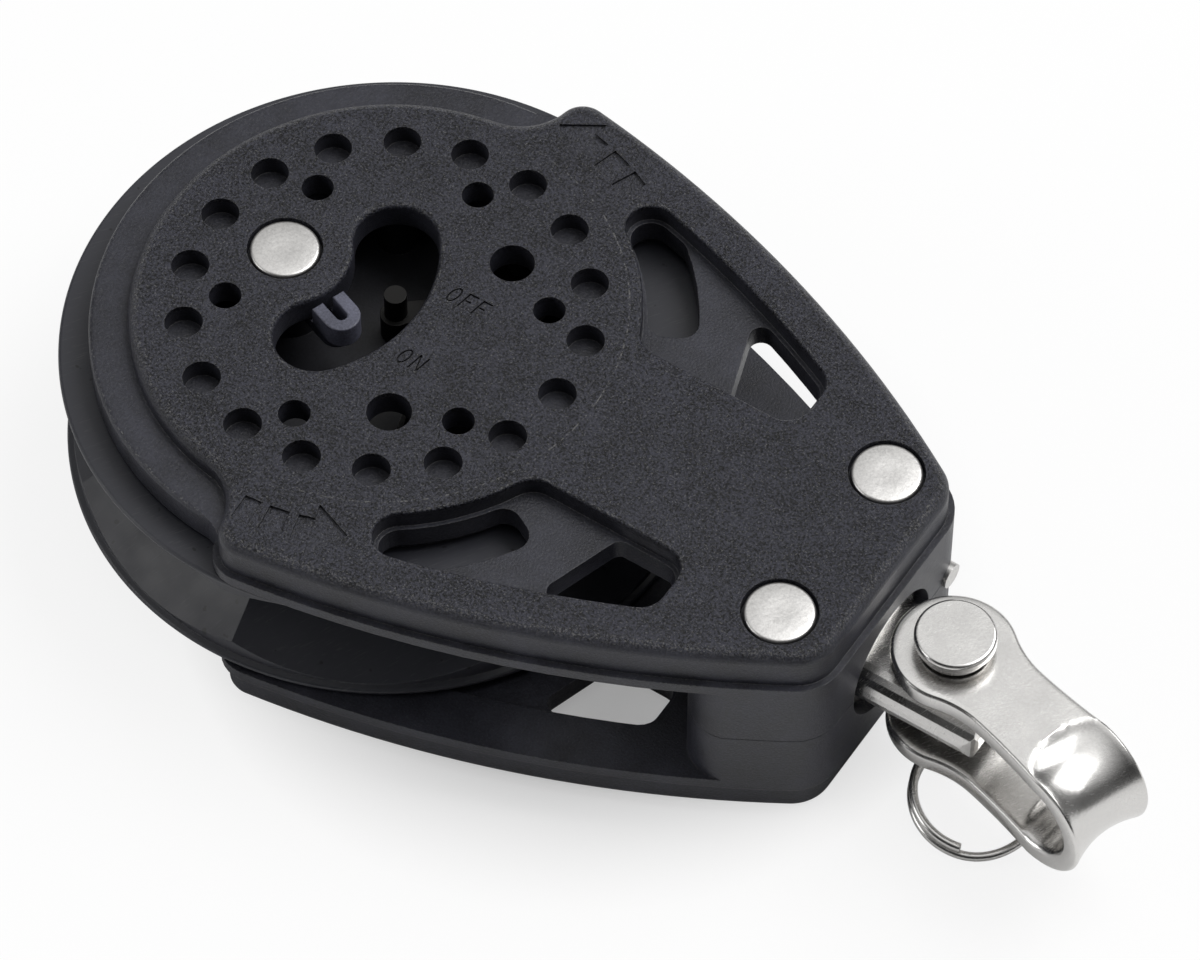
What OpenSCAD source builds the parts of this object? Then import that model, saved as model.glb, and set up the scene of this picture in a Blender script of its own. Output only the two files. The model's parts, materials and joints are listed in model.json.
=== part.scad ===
// Ratchet block for sheets and control lines: one eight-sided sheave on two rows of balls between
// moulded cheeks, a pawl with an on/off lever, and a shackle on a swivel post.
// The sheave turns about Z, +X points at the shackle, and the block lies on z = 0.

/* [Block] */
// Thickness over both cheeks
block_h = 23.2; // [22.6:0.1:25]
// From the sheave's rim to the end face of the head
head_len = 22.7; // [22:0.1:25]
// Radius of the long curved sides
side_r = 119.2; // [118.6:0.1:120]
// Depth of the ledge round the cheek's round end
ledge_drop = 2; // [1.6:0.1:2.2]
// Depth of the recess in each window
window_depth = 1.95; // [1.5:0.05:2.4]

/* [Sheave] */
// Outer diameter of the sheave
sheave_d = 57; // [56.6:0.1:57.4]
// Width of the sheave over its rims
sheave_w = 12.46; // [12:0.02:12.8]
// Flats round the groove
flats = 8; // [6:1:10]
// Where a corner between two flats lies, as an angle about the axis
flat_turn = 4; // [0:0.5:45]
// Saw teeth in the ratchet ring
teeth = 24; // [18:1:36]

/* [Bearing] */
// Diameter of a bearing ball
ball_d = 3.9; // [3.6:0.05:4]
// Least room between neighbouring balls
ball_gap = 0.3; // [0.2:0.05:0.8]

/* [Switch] */
// From the edge of the ratchet's chamber to the lever's pivot
pivot_in = 4.75; // [4.5:0.05:5]
// Lever's angle in the on position, towards the near side
lever_on = 20; // [18:0.5:21]

/* [Shackle] */
// From the end face of the head to the clevis pin
pin_out = 6; // [5.9:0.1:8]
// Diameter of the clevis pin
pin_d = 5; // [4.6:0.1:5.4]
// Shackle's swing about the pin, as it lies
shackle_yaw = -15; // [-60:1:60]
// From the pin to the centre of the bow's bend
bow_reach = 13.9; // [12.8:0.1:16]
// Outer diameter of the split ring
ring_d = 12; // [11.4:0.1:12.6]

/* [Hidden] */
$fn = 96;

// Clearances
run_fit = 0.05;
side_gap = 0.37;
part_gap = 0.3;

// Levels, counted up and down from the middle plane
mid = block_h / 2;
top_level = mid;
ledge_level = top_level - ledge_drop;
inner_level = sheave_w / 2 + side_gap;
plate_t = 2.7;
roof_level = top_level - plate_t;
web_level = inner_level + 0.8;

// Radii about the sheave's axis
sheave_r = sheave_d / 2;
ball_pitch_r = sheave_r - 11.05;
cavity_r = ball_pitch_r - 2.05;
throat_r = sheave_r + 12;
ledge_r = sheave_r - 2.8;
ledge_round = 0.5;
face_r = ledge_r - 3.45;
edge_r = 1.3;

// Places along the block
head_x = sheave_r + head_len;
pin_x = head_x + pin_out;

// Holes in a cheek's face: radius of the circle, or radius and angle, then diameter and depth
core_hole = [face_r - 4.8, 3.3, 2];
drain_hole = [cavity_r - 1.5, 2.8];
pawl_hole_at = [cavity_r - 3.93, 54.8];
pawl_hole_d = 3.9;

// Cheek outline: side arc, shoulder, hollow behind it and head corner
side_over = 1.2;
side_c = [-13.1, sheave_r + side_over - side_r];
shoulder_r = 3;
shoulder_x = 3.2;
hollow_r = 4.5;
hollow_bite = 0.1;
corner_r = 4.5;
shoulder_c = [shoulder_x, on_side(shoulder_x, side_r - shoulder_r)];
corner_c = [head_x - corner_r, on_side(head_x - corner_r, side_r - corner_r)];
throat_round = 3.8;
throat_bite = 0.05;
throat_c = left_meet(throat_r + throat_round - throat_bite, side_c, side_r - throat_round + throat_bite);

// Side wall of a cheek: a lip at its foot and a band drawn in above it
lip_level = inner_level + 1.1;
band_in = 0.6;
hollow_c = left_meet(face_r - hollow_bite + band_in + hollow_r, shoulder_c, shoulder_r + hollow_r);
ledge_c = left_meet(
    ledge_r - hollow_bite + hollow_r, shoulder_c, shoulder_r - band_in - hollow_bite + hollow_r);

// Windows
window_x = [11.5, head_x - 15.1];
window_y = 8.1;
window_r = face_r - 0.35;
window_round = 2.2;
window_rim = 4.76;
web_rim = 0.4;
slot_w = 4.85;
slot_from = 27;
slot_round = 1.6;
bay_x = head_x - 22.2;
bay_lean = 4;
bay_round = 1.1;

// Kidney slot about the lever's pivot
pivot = [pivot_in - cavity_r, 0];
kidney_in = 5.95;
kidney_out = 13.25;
kidney_half = 39;

// Rivets
rivet_r = 2;
rivet_head_r = 3.05;
rivet_recess_r = 3.3;
rivet_recess = 1.2;
rivet_fit = 0.05;
head_rivet_at = [head_x - 6.13, 8.39];

// Ball bearing
ball_r = ball_d / 2;
balls = floor(180 / asin((ball_d + ball_gap) / (2 * ball_pitch_r)));
race_r = ball_r + run_fit;
race_gap = 0.75;
drum_r = ball_pitch_r - race_gap;
bore_r = ball_pitch_r + race_gap;
ball_levels = [-3.9, 0.5];

// Ratchet
deck_level = 2.9;
ratchet_levels = [3.2, 5.9];
ratchet_out_r = bore_r + 0.5;
tooth_root_r = ratchet_out_r - 1.7;
tooth_tip_r = tooth_root_r - 1.4;
pawl_t = 2.5;
pawl_levels = [deck_level + part_gap, deck_level + part_gap + pawl_t];
pawl_at = polar(pawl_hole_at[0], pawl_hole_at[1]);
pawl_pin_r = 1.5;
pawl_eye_r = 3.1;
pawl_tip_r = tooth_tip_r - part_gap;
pawl_arm_half = 1.2;
pin_seat = 4;
spring_post_at = [pawl_at[0], -pawl_at[1]];
spring_t = 0.5;
peg_r = 1;
peg_from_pivot = 9.8;
peg_dir = 18;
peg_at = pivot + polar(peg_from_pivot, peg_dir);

// Pillars that carry the upper cheek: radius and angle of the place, then the pillar's radius
pillars = [[cavity_r - 4.4, 0, 2.4], [cavity_r - 1.94, 121.3, 1.8], [cavity_r - 1.94, -121.3, 1.8]];

// Switch lever
lever_t = 1.2;
lever_top = roof_level - part_gap;
tab_len = 7.5;
tab_half = 1.5;
tab_slot_half = 0.55;
tab_rise = 0.5;

// Shackle: ears round the pin, a strap that narrows to a waist, and a bow with a scooped saddle
ear_r = 5.4;
strap_t = 1.9;
shackle_half = 5.7;
waist_half = 3.8;
waist_r = 9;
waist_bite = 0.08;
bow_half = 4.2;
saddle_depth = 0.9;
saddle_r = 9;
saddle_run_r = 2.6;
strap_edge = 0.45;
face_step = 0.02;
strap_crown = 0.06;
strap_from = 1;
strap_steps = 14;
bow_steps = 16;

// Clevis pin
pin_r = pin_d / 2;
pin_head_r = 3.5;
pin_head_t = 1;
pin_neck = 0.9;
pin_low = -10.2;

// Swivel post
stem_r = 3;
stem_end_r = 2.5;
socket_r = 5.2;
socket_x = [head_x - 9, head_x - 5.6];
washer_t = 0.8;
nut_t = 2;
nut_r = 4.6;
nut_x = socket_x[1] - washer_t - 0.1;
recess_r = 6;
recess_x = head_x - 2.6;
flange_r = recess_r - 0.5;
flange_x = [recess_x + part_gap, recess_x + 1.4];
lug_half = 5.1;
lug_t = 4;
lug_x = [flange_x[1] - 0.5, pin_x + lug_half];
lug_round = 1.5;

// Split ring: two layers of wire, with a step between them
wire_r = 0.4;
wire_pitch = 1.25;
ring_r = ring_d / 2 - wire_r;
ring_level = -8.85;
ring_dir = -30;
ring_tilt = 7;
ring_turns = 1.75;
ring_start = 45;
ring_steps = 42;
wire_sides = 8;

// Lock screw in the end face of the head
lock_at = 9.4;
lock_r = 1.15;
lock_x = [head_x - 3.6, head_x + 0.3];

function polar(r, a) = [r * cos(a), r * sin(a)];
function arc(c, r, a0, a1, n) = [for (i = [0 : n]) c + polar(r, a0 + (a1 - a0) * i / n)];
function angle_to(a, b) = atan2(b[1] - a[1], b[0] - a[0]);
function on_side(x, r) = side_c[1] + sqrt(r * r - pow(x - side_c[0], 2));
function flip(list) = [for (i = [len(list) - 1 : -1 : 0]) [list[i][0], -list[i][1]]];

// The left one of two points that lie r0 from the origin and r1 from c
function left_meet(r0, c, r1) =
    let (d = norm(c), a = (r0 * r0 - r1 * r1 + d * d) / (2 * d), h = sqrt(r0 * r0 - a * a))
    c / d * a + h / d * [-c[1], c[0]];

// Half of the cheek's outline drawn in by d, from the face disc to the end face
function half_outline(d) =
    let (hollow_end = angle_to(hollow_c, shoulder_c), side_from = angle_to(side_c, shoulder_c),
         side_to = angle_to(side_c, corner_c))
    concat(
        arc(hollow_c, hollow_r + d, angle_to(hollow_c, [0, 0]), hollow_end, 6),
        arc(shoulder_c, shoulder_r - d, 180 + hollow_end, side_from, 7),
        arc(side_c, side_r - d, side_from - 1, side_to + 1, 12),
        arc(corner_c, corner_r - d, side_to, 0, 7));
function outline(d) = concat(half_outline(d), flip(half_outline(d)));

// A solid through rings of points, each ring with as many points as the next
module loft(rings) {
    n = len(rings[0]);
    last = (len(rings) - 1) * n;
    polyhedron(
        [for (ring = rings, p = ring) p],
        concat(
            [for (k = [0 : n : last - n], i = [0 : n - 1])
                [k + i, k + (i + 1) % n, k + n + (i + 1) % n, k + n + i]],
            [[for (i = [n - 1 : -1 : 0]) i], [for (i = [0 : n - 1]) last + i]]),
        convexity = 6);
}

// A slab between two levels that are counted from the middle plane
module slab(low, high) {
    translate([0, 0, mid + low])
        linear_extrude(high - low)
            children();
}

module post(at, r, low, high) {
    translate([at[0], at[1], mid + low])
        cylinder(h = high - low, r = r);
}

module along_x(r, x0, x1, y = 0) {
    translate([x0, y, mid])
        rotate([0, 90, 0])
            cylinder(h = x1 - x0, r = r);
}

module window_2d() {
    offset(r = window_round, $fn = 24)
        offset(delta = -window_round)
            intersection() {
                difference() {
                    translate(side_c)
                        circle(r = side_r - window_rim, $fn = 240);
                    circle(r = window_r, $fn = 72);
                }
                translate([window_x[0], window_y])
                    square([window_x[1] - window_x[0], sheave_r]);
            }
}

module slot_2d() {
    offset(r = slot_round, $fn = 24)
        offset(delta = -slot_round - web_rim)
            intersection() {
                window_2d();
                circle(r = window_r + slot_w + web_rim, $fn = 72);
                rotate(slot_from)
                    square(2 * sheave_r);
            }
}

module bay_2d() {
    offset(r = bay_round, $fn = 24)
        offset(delta = -bay_round - web_rim)
            intersection() {
                window_2d();
                polygon([
                    [bay_x, 0], [bay_x, window_y], [bay_x - bay_lean, sheave_r - 8.5],
                    [bay_x - bay_lean, sheave_r], [head_x, sheave_r], [head_x, 0]]);
            }
}

module kidney_2d() {
    mean = (kidney_in + kidney_out) / 2;
    cap = (kidney_out - kidney_in) / 2;
    translate(pivot)
        polygon(concat(
            arc([0, 0], kidney_out, -kidney_half, kidney_half, 20),
            arc(polar(mean, kidney_half), cap, kidney_half + 9, kidney_half + 171, 18),
            arc([0, 0], kidney_in, kidney_half, -kidney_half, 14),
            arc(polar(mean, -kidney_half), cap, -kidney_half - 171, -kidney_half - 9, 18)));
}

// Round end of a cheek: a face disc with a rounded edge on a ledge
module round_end() {
    translate([0, 0, mid])
        rotate_extrude()
            polygon(concat(
                [[0, inner_level], [ledge_r, inner_level]],
                arc([ledge_r - ledge_round, ledge_level - ledge_round], ledge_round, 0, 90, 3),
                [[face_r, ledge_level]],
                arc([face_r - edge_r, top_level - edge_r], edge_r, 0, 90, 8),
                [[0, top_level]]));
}

// Web of the ledge that runs out to the shoulder
module ledge_web() {
    polygon(concat(
        arc(ledge_c, hollow_r, angle_to(ledge_c, [0, 0]), angle_to(ledge_c, shoulder_c), 8),
        [shoulder_c, [0, face_r - edge_r]]));
}

// Room for the sheave and its rope, with rounded corners where it meets the sides of the head
module throat_2d() {
    inward = 180 + angle_to([0, 0], throat_c);
    outward = angle_to(side_c, throat_c);
    circle(r = throat_r, $fn = 180);
    for (s = [0, 1])
        mirror([0, s, 0])
            polygon(concat(
                [polar(throat_r - 4, inward - 180)],
                arc(throat_c, throat_round, inward, outward, 12),
                [throat_c + polar(throat_round + 2, outward), polar(throat_r + 4, 45)]));
}

// What both cheeks have in common, drawn as the upper one
module cheek_body() {
    difference() {
        union() {
            round_end();
            slab(inner_level, lip_level)
                polygon(outline(0));
            slab(lip_level, top_level)
                polygon(outline(band_in));
            slab(0, inner_level + 1)
                difference() {
                    polygon(outline(0));
                    throat_2d();
                }
            for (s = [0, 1])
                mirror([0, s, 0])
                    slab(inner_level, ledge_level)
                        ledge_web();
        }
        post([0, 0], cavity_r, inner_level - 1, roof_level);
        for (a = [0 : 20 : 340])
            post(polar(core_hole[0], a), core_hole[1] / 2, top_level - core_hole[2], top_level + 1);
        for (a = [30 : 60 : 330])
            post(polar(drain_hole[0], a), drain_hole[1] / 2, roof_level - 1, top_level + 1);
        for (s = [1, -1])
            post([pawl_at[0], s * pawl_at[1]], pawl_hole_d / 2, roof_level - 1, top_level + 1);
        for (s = [0, 1])
            mirror([0, s, 0]) {
                slab(top_level - window_depth, top_level + 1)
                    window_2d();
                slab(inner_level - 1, web_level)
                    window_2d();
                slab(inner_level - 1, top_level + 1)
                    slot_2d();
                slab(inner_level - 1, top_level + 1)
                    bay_2d();
                post(head_rivet_at, rivet_r + rivet_fit, -1, top_level + 1);
                post(head_rivet_at, rivet_recess_r, top_level - rivet_recess, top_level + 1);
            }
        post(pivot, rivet_r + rivet_fit, roof_level - 1, top_level + 1);
        post(pivot, rivet_recess_r, top_level - rivet_recess, top_level + 1);
        along_x(socket_r, socket_x[0], socket_x[1]);
        along_x(stem_r + run_fit, socket_x[1] - 1, head_x + 1);
        along_x(recess_r, recess_x, head_x + 1);
    }
}

module upper_cheek() {
    color("#2b2b2d")
        difference() {
            cheek_body();
            slab(roof_level - 1, top_level + 1)
                kidney_2d();
            along_x(lock_r, lock_x[0], head_x + 1, lock_at);
        }
}

module lower_cheek() {
    color("#2b2b2d")
        difference() {
            translate([0, 0, block_h])
                mirror([0, 0, 1])
                    cheek_body();
            along_x(lock_r, lock_x[0], head_x + 1, lock_at);
        }
}

module hub() {
    color("#3a3a3c")
        difference() {
            union() {
                post([0, 0], cavity_r - 0.1, -roof_level, -inner_level);
                post([0, 0], drum_r, -inner_level, deck_level);
                post(pivot, rivet_head_r + 0.2, deck_level - 1, lever_top - lever_t - part_gap);
                for (p = pillars)
                    post(polar(p[0], p[1]), p[2], deck_level - 1, roof_level);
            }
            for (level = ball_levels)
                translate([0, 0, mid + level])
                    rotate_extrude()
                        translate([ball_pitch_r, 0])
                            circle(r = race_r);
            post(pivot, rivet_r + rivet_fit, -top_level, top_level);
            post(pawl_at, pawl_pin_r, deck_level - pin_seat, deck_level + 1);
            post(spring_post_at, pawl_pin_r, deck_level - pin_seat, deck_level + 1);
        }
}

// Half of the groove: an eight-sided funnel with its corners turned off
module groove_half() {
    rim_level = sheave_w / 2 - 0.9;
    rim_flat_r = sheave_r - 0.9;
    floor_flat_r = sheave_r - 6.6;
    intersection() {
        cylinder(h = rim_level, r1 = floor_flat_r, r2 = rim_flat_r, $fn = flats);
        cylinder(h = rim_level, r1 = floor_flat_r - 0.5, r2 = rim_flat_r - 0.8);
    }
}

module sheave() {
    bead = 0.35;
    half_w = sheave_w / 2;
    color("#3f4043")
        difference() {
            translate([0, 0, mid])
                union() {
                    for (s = [0, 1])
                        mirror([0, 0, s]) {
                            rotate(flat_turn)
                                groove_half();
                            rotate_extrude()
                                polygon(concat(
                                    [[bore_r - 1, half_w - 1.2], [sheave_r - 2 * bead, half_w - 1]],
                                    arc([sheave_r - bead, half_w - bead], bead, -60, 90, 6),
                                    [[bore_r - 1, half_w]]));
                        }
                    rotate(100 / flats)
                        cylinder(h = 3, r = sheave_r - 6.9, center = true);
                }
            post([0, 0], bore_r, -mid, mid);
            post([0, 0], ratchet_out_r, ratchet_levels[0], mid);
            for (level = ball_levels)
                translate([0, 0, mid + level])
                    rotate_extrude()
                        translate([ball_pitch_r, 0])
                            circle(r = race_r);
        }
}

// Internal saw teeth: steep on one flank, so that the pawl holds one way only
module ratchet_ring() {
    step = 360 / teeth;
    color("#8d9094")
        slab(ratchet_levels[0], ratchet_levels[1])
            difference() {
                circle(r = ratchet_out_r);
                polygon([for (i = [0 : teeth - 1], p = [[tooth_root_r, 0], [tooth_tip_r, 0.06]])
                    polar(p[0], step * (i + p[1]))]);
            }
}

module ball_row(level) {
    color("#d8d8d4")
        for (i = [0 : balls - 1])
            rotate(360 / balls * i)
                translate([ball_pitch_r, 0, mid + level])
                    sphere(r = ball_r);
}

module upper_ball_row() {
    ball_row(ball_levels[1]);
}

module lower_ball_row() {
    ball_row(ball_levels[0]);
}

module bar_2d(p, q, half) {
    translate(p)
        rotate(angle_to(p, q))
            translate([0, -half])
                square([norm(q - p), 2 * half]);
}

module pawl() {
    color("#b9bbbd")
        difference() {
            union() {
                slab(pawl_levels[0], pawl_levels[1]) {
                    translate(pawl_at)
                        circle(r = pawl_eye_r);
                    polygon([
                        pawl_at + polar(pawl_eye_r - 0.1, 124), polar(pawl_tip_r, 88.5),
                        polar(pawl_tip_r - 1.1, 92.8), pawl_at + polar(pawl_eye_r - 0.1, 208)]);
                    bar_2d(pawl_at, peg_at, pawl_arm_half);
                    translate(peg_at)
                        circle(r = peg_r + 0.4);
                }
                post(peg_at, peg_r, pawl_levels[1] - 1, lever_top - 0.2);
            }
            post(pawl_at, pawl_pin_r + run_fit, -mid, mid);
        }
}

module pawl_pin() {
    color("#c4c6c8")
        post(pawl_at, pawl_pin_r, deck_level - pin_seat, pawl_levels[1] + 0.6);
}

module spring_post() {
    color("#c4c6c8")
        post(spring_post_at, pawl_pin_r, deck_level - pin_seat, pawl_levels[1]);
}

// Leaf spring from its post to the pawl's tail
module pawl_spring() {
    tail = peg_at - pawl_at;
    away = [tail[1], -tail[0]] / norm(tail);
    touch = pawl_at + 0.7 * tail - (pawl_arm_half + part_gap + spring_t / 2) * away;
    color("#9fa3a6")
        slab(pawl_levels[0] + 0.2, pawl_levels[1] - 0.4)
            difference() {
                union() {
                    translate(spring_post_at)
                        circle(r = pawl_pin_r + spring_t);
                    bar_2d(spring_post_at, touch, spring_t / 2);
                }
                translate(spring_post_at)
                    circle(r = pawl_pin_r);
            }
}

module switch_lever() {
    low = lever_top - lever_t;
    color("#4a4b4d")
        translate([pivot[0], pivot[1], mid])
            rotate(-lever_on)
                difference() {
                    union() {
                        translate([0, 0, low])
                            linear_extrude(lever_t) {
                                circle(r = rivet_head_r + 0.2);
                                translate([0, -tab_half])
                                    square([tab_len, 2 * tab_half]);
                                translate([tab_len, 0])
                                    circle(r = tab_half);
                            }
                        translate([0, 0, low])
                            linear_extrude(lever_t + tab_rise) {
                                translate([kidney_in + part_gap, -tab_half])
                                    square([tab_len - kidney_in - part_gap, 2 * tab_half]);
                                translate([tab_len, 0])
                                    circle(r = tab_half);
                            }
                    }
                    translate([0, 0, low - 1])
                        cylinder(h = lever_t + 2, r = rivet_r + run_fit);
                    translate([tab_len - 3, -tab_slot_half, low - 1])
                        cube([3, 2 * tab_slot_half, lever_t + 3]);
                    translate([tab_len, 0, low - 1])
                        cylinder(h = lever_t + 3, r = tab_slot_half);
                }
}

// Outer half of a rivet's profile: shank, head with an eased rim, and a shallow dish in its middle
rivet_half = [
    [rivet_r, top_level - rivet_recess], [rivet_head_r, top_level - rivet_recess],
    [rivet_head_r, top_level - 0.4], [rivet_head_r - 0.15, top_level - 0.1], [rivet_head_r - 0.45, top_level],
    [1, top_level], [0.75, top_level - 0.12], [0, top_level - 0.12]];

// A through rivet with a head in each cheek's recess
module rivet(at) {
    translate([at[0], at[1], mid])
        rotate_extrude()
            polygon(concat(flip(rivet_half), rivet_half));
}

module hub_rivet() {
    color("#c9cbcd")
        rivet(pivot);
}

module head_rivets() {
    color("#c9cbcd")
        for (s = [1, -1])
            rivet([head_rivet_at[0], s * head_rivet_at[1]]);
}

// Flat lug with full round edges and a rounded end
module lug() {
    edge = lug_t / 2;
    end_c = [lug_x[1] - lug_round, lug_half - lug_round];
    half_plan = concat([[lug_x[0], lug_half]], arc(end_c, lug_round, 90, 0, 6));
    half_side = concat([[lug_x[0], lug_t]], arc([lug_x[1] - lug_t, 0], lug_t, 90, 0, 8));
    intersection() {
        slab(-lug_t, lug_t)
            polygon(concat(half_plan, flip(half_plan)));
        translate([lug_x[0], 0, mid])
            rotate([90, 0, 90])
                linear_extrude(lug_x[1] - lug_x[0])
                    polygon(concat(
                        arc([lug_half - edge, 0], edge, -90, 90, 10),
                        arc([edge - lug_half, 0], edge, 90, 270, 10)));
        translate([0, lug_half + 1, mid])
            rotate([90, 0, 0])
                linear_extrude(2 * lug_half + 2)
                    polygon(concat(half_side, flip(half_side)));
    }
}

module swivel_post() {
    color("#d0d2d4")
        difference() {
            union() {
                along_x(stem_end_r, nut_x - nut_t - 0.2, nut_x);
                along_x(stem_r, nut_x, flange_x[0] + 0.5);
                along_x(flange_r, flange_x[0], flange_x[1]);
                lug();
            }
            post([pin_x, 0], pin_r + run_fit, -mid, mid);
        }
}

module post_nut() {
    color("#b4b7ba")
        difference() {
            translate([nut_x - nut_t, 0, mid])
                rotate([0, 90, 0])
                    cylinder(h = nut_t, r = nut_r, $fn = 6);
            along_x(stem_end_r, nut_x - nut_t - 1, nut_x + 1);
        }
}

module thrust_washer() {
    color("#e6e4de")
        difference() {
            along_x(socket_r - 0.4, socket_x[1] - washer_t, socket_x[1]);
            along_x(stem_r + 0.1, socket_x[1] - washer_t - 1, socket_x[1] + 1);
        }
}

module lock_screw() {
    color("#c9cbcd")
        along_x(lock_r, lock_x[0], lock_x[1], lock_at);
}

// Strap of the shackle: half its width at x, and how far the saddle is scooped out of it at x and y
strap_reach = ear_r - waist_bite + waist_r;
waist_x = sqrt(strap_reach * strap_reach - pow(waist_half + waist_r, 2));
ear_end_x = waist_x * (ear_r - waist_bite) / strap_reach;
function strap_half(x) =
    x > waist_x ? waist_half + (bow_half - waist_half) * pow((x - waist_x) / (bow_reach - waist_x), 2)
                : waist_half + waist_r - sqrt(waist_r * waist_r - pow(max(x, ear_end_x) - waist_x, 2));
function saddle(x, y) =
    max(0, saddle_depth - pow(x - bow_reach, 2) / (2 * saddle_run_r) - y * y / (2 * saddle_r));

// Stations along the strap, as [x, angle about the bend]: out below, round the bow and back on top
strap_xs = [for (i = [0 : strap_steps - 1]) strap_from + (bow_reach - strap_from) * i / strap_steps];
stations = concat(
    [for (x = strap_xs) [x, -90]],
    [for (i = [0 : bow_steps]) [bow_reach, 180 * i / bow_steps - 90]],
    [for (i = [strap_steps - 1 : -1 : 0]) [strap_xs[i], 90]]);

// Section of the strap: [share of the half width, inset from the edge, depth of the eased edge]
outer_row = [[1, 0, strap_edge], [1, 0.13, 0.13], [1, strap_edge, 0], [0.55, 0, 0], [0.25, 0, 0]];
outer_half = concat(outer_row, [[0, 0, 0]]);
inner_half = [[1, 0, strap_edge], [1, strap_edge, 0], [0.4, 0, 0]];
function strap_point(st, y, depth) =
    let (r = shackle_half - face_step - depth - strap_crown * pow(y / strap_half(st[0]), 2))
    [st[0] + r * cos(st[1]), y, r * sin(st[1])];
function strap_y(st, p) = p[0] * strap_half(st[0]) - p[1];
function outer_point(st, p, s) =
    let (y = s * strap_y(st, p))
    strap_point(st, y, p[2] + saddle(st[0], y));
function inner_point(st, p, s) =
    let (y = s * strap_y(st, p))
    strap_point(st, y, strap_t - 2 * face_step - p[2] + 0.6 * saddle(st[0], y));
function strap_ring(st) = concat(
    [for (p = outer_half) outer_point(st, p, 1)],
    [for (i = [len(outer_row) - 1 : -1 : 0]) outer_point(st, outer_row[i], -1)],
    [for (p = inner_half) inner_point(st, p, -1)],
    [for (i = [len(inner_half) - 1 : -1 : 0]) inner_point(st, inner_half[i], 1)]);

module ear() {
    low = shackle_half - strap_t;
    rotate_extrude()
        polygon([
            [0, low], [ear_r - 0.35, low], [ear_r, low + 0.35], [ear_r, shackle_half - strap_edge],
            [ear_r - 0.13, shackle_half - 0.13], [ear_r - strap_edge, shackle_half], [0, shackle_half]]);
}

module shackle() {
    color("#d6d8da")
        translate([pin_x, 0, mid])
            rotate(shackle_yaw)
                difference() {
                    union() {
                        ear();
                        mirror([0, 0, 1])
                            ear();
                        loft([for (st = stations) strap_ring(st)]);
                    }
                    translate([0, 0, -mid])
                        cylinder(h = block_h, r = pin_r + run_fit);
                }
}

// Clevis pin: a turned neck with two rings under a rounded head, and a cross hole for the split ring
module clevis_pin() {
    hole_r = 1.35;
    neck = shackle_half + part_gap;
    head = neck + pin_neck;
    color("#d6d8da")
        difference() {
            translate([pin_x, 0, mid])
                rotate_extrude()
                    polygon(concat(
                        [[0, pin_low], [pin_r - 0.3, pin_low], [pin_r, pin_low + 0.3], [pin_r, neck],
                         [pin_r + 0.55, neck], [pin_r + 0.55, neck + 0.35], [pin_r + 0.3, neck + 0.4],
                         [pin_r + 0.3, neck + 0.6], [pin_r + 0.7, neck + 0.65], [pin_r + 0.7, head],
                         [pin_head_r - 0.1, head], [pin_head_r, head + 0.1]],
                        arc([pin_head_r - 0.35, head + pin_head_t - 0.35], 0.35, 0, 80, 4),
                        [[0, head + pin_head_t]]));
            translate([pin_x, 0, mid + ring_level])
                rotate(ring_dir)
                    rotate([90, 0, 0])
                        cylinder(h = 4 * pin_r, r = hole_r, center = true);
        }
}

// Height of the wire's centre after t turns: two level layers with a smooth step between them
function wire_z(t) =
    let (u = min(max((t - 0.75) / 0.25, 0), 1))
    wire_pitch * (u * u * (3 - 2 * u) - 0.5);
function wire_point(i, j) =
    let (t = ring_turns * i / ring_steps, a = 360 * t + ring_start, b = 360 * j / wire_sides)
    [(ring_r + wire_r * cos(b)) * cos(a), (ring_r + wire_r * cos(b)) * sin(a), wire_z(t) + wire_r * sin(b)];

module split_ring() {
    rings = [for (i = [ring_steps : -1 : 0]) [for (j = [0 : wire_sides - 1]) wire_point(i, j)]];
    echo(split_ring_least_gap = wire_pitch - 2 * wire_r);
    color("#d6d8da")
        translate([pin_x, 0, mid + ring_level])
            rotate([0, ring_tilt, ring_dir])
                translate([ring_r, 0, 0])
                    loft(rings);
}

upper_cheek();
lower_cheek();
hub();
sheave();
ratchet_ring();
upper_ball_row();
lower_ball_row();
pawl();
pawl_pin();
pawl_spring();
spring_post();
switch_lever();
hub_rivet();
head_rivets();
swivel_post();
post_nut();
thrust_washer();
lock_screw();
shackle();
clevis_pin();
split_ring();
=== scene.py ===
"""Looks of a ratchet block: cheeks, a faceted sheave, a shackle, switch marks and finishes.

Every piece is modelled in metres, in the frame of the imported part, and rides on one of its bodies.
"""

import json
import math

import bmesh
import bpy
from bpy.props import FloatProperty, FloatVectorProperty, IntProperty, PointerProperty
from mathutils import Matrix, Vector

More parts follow.
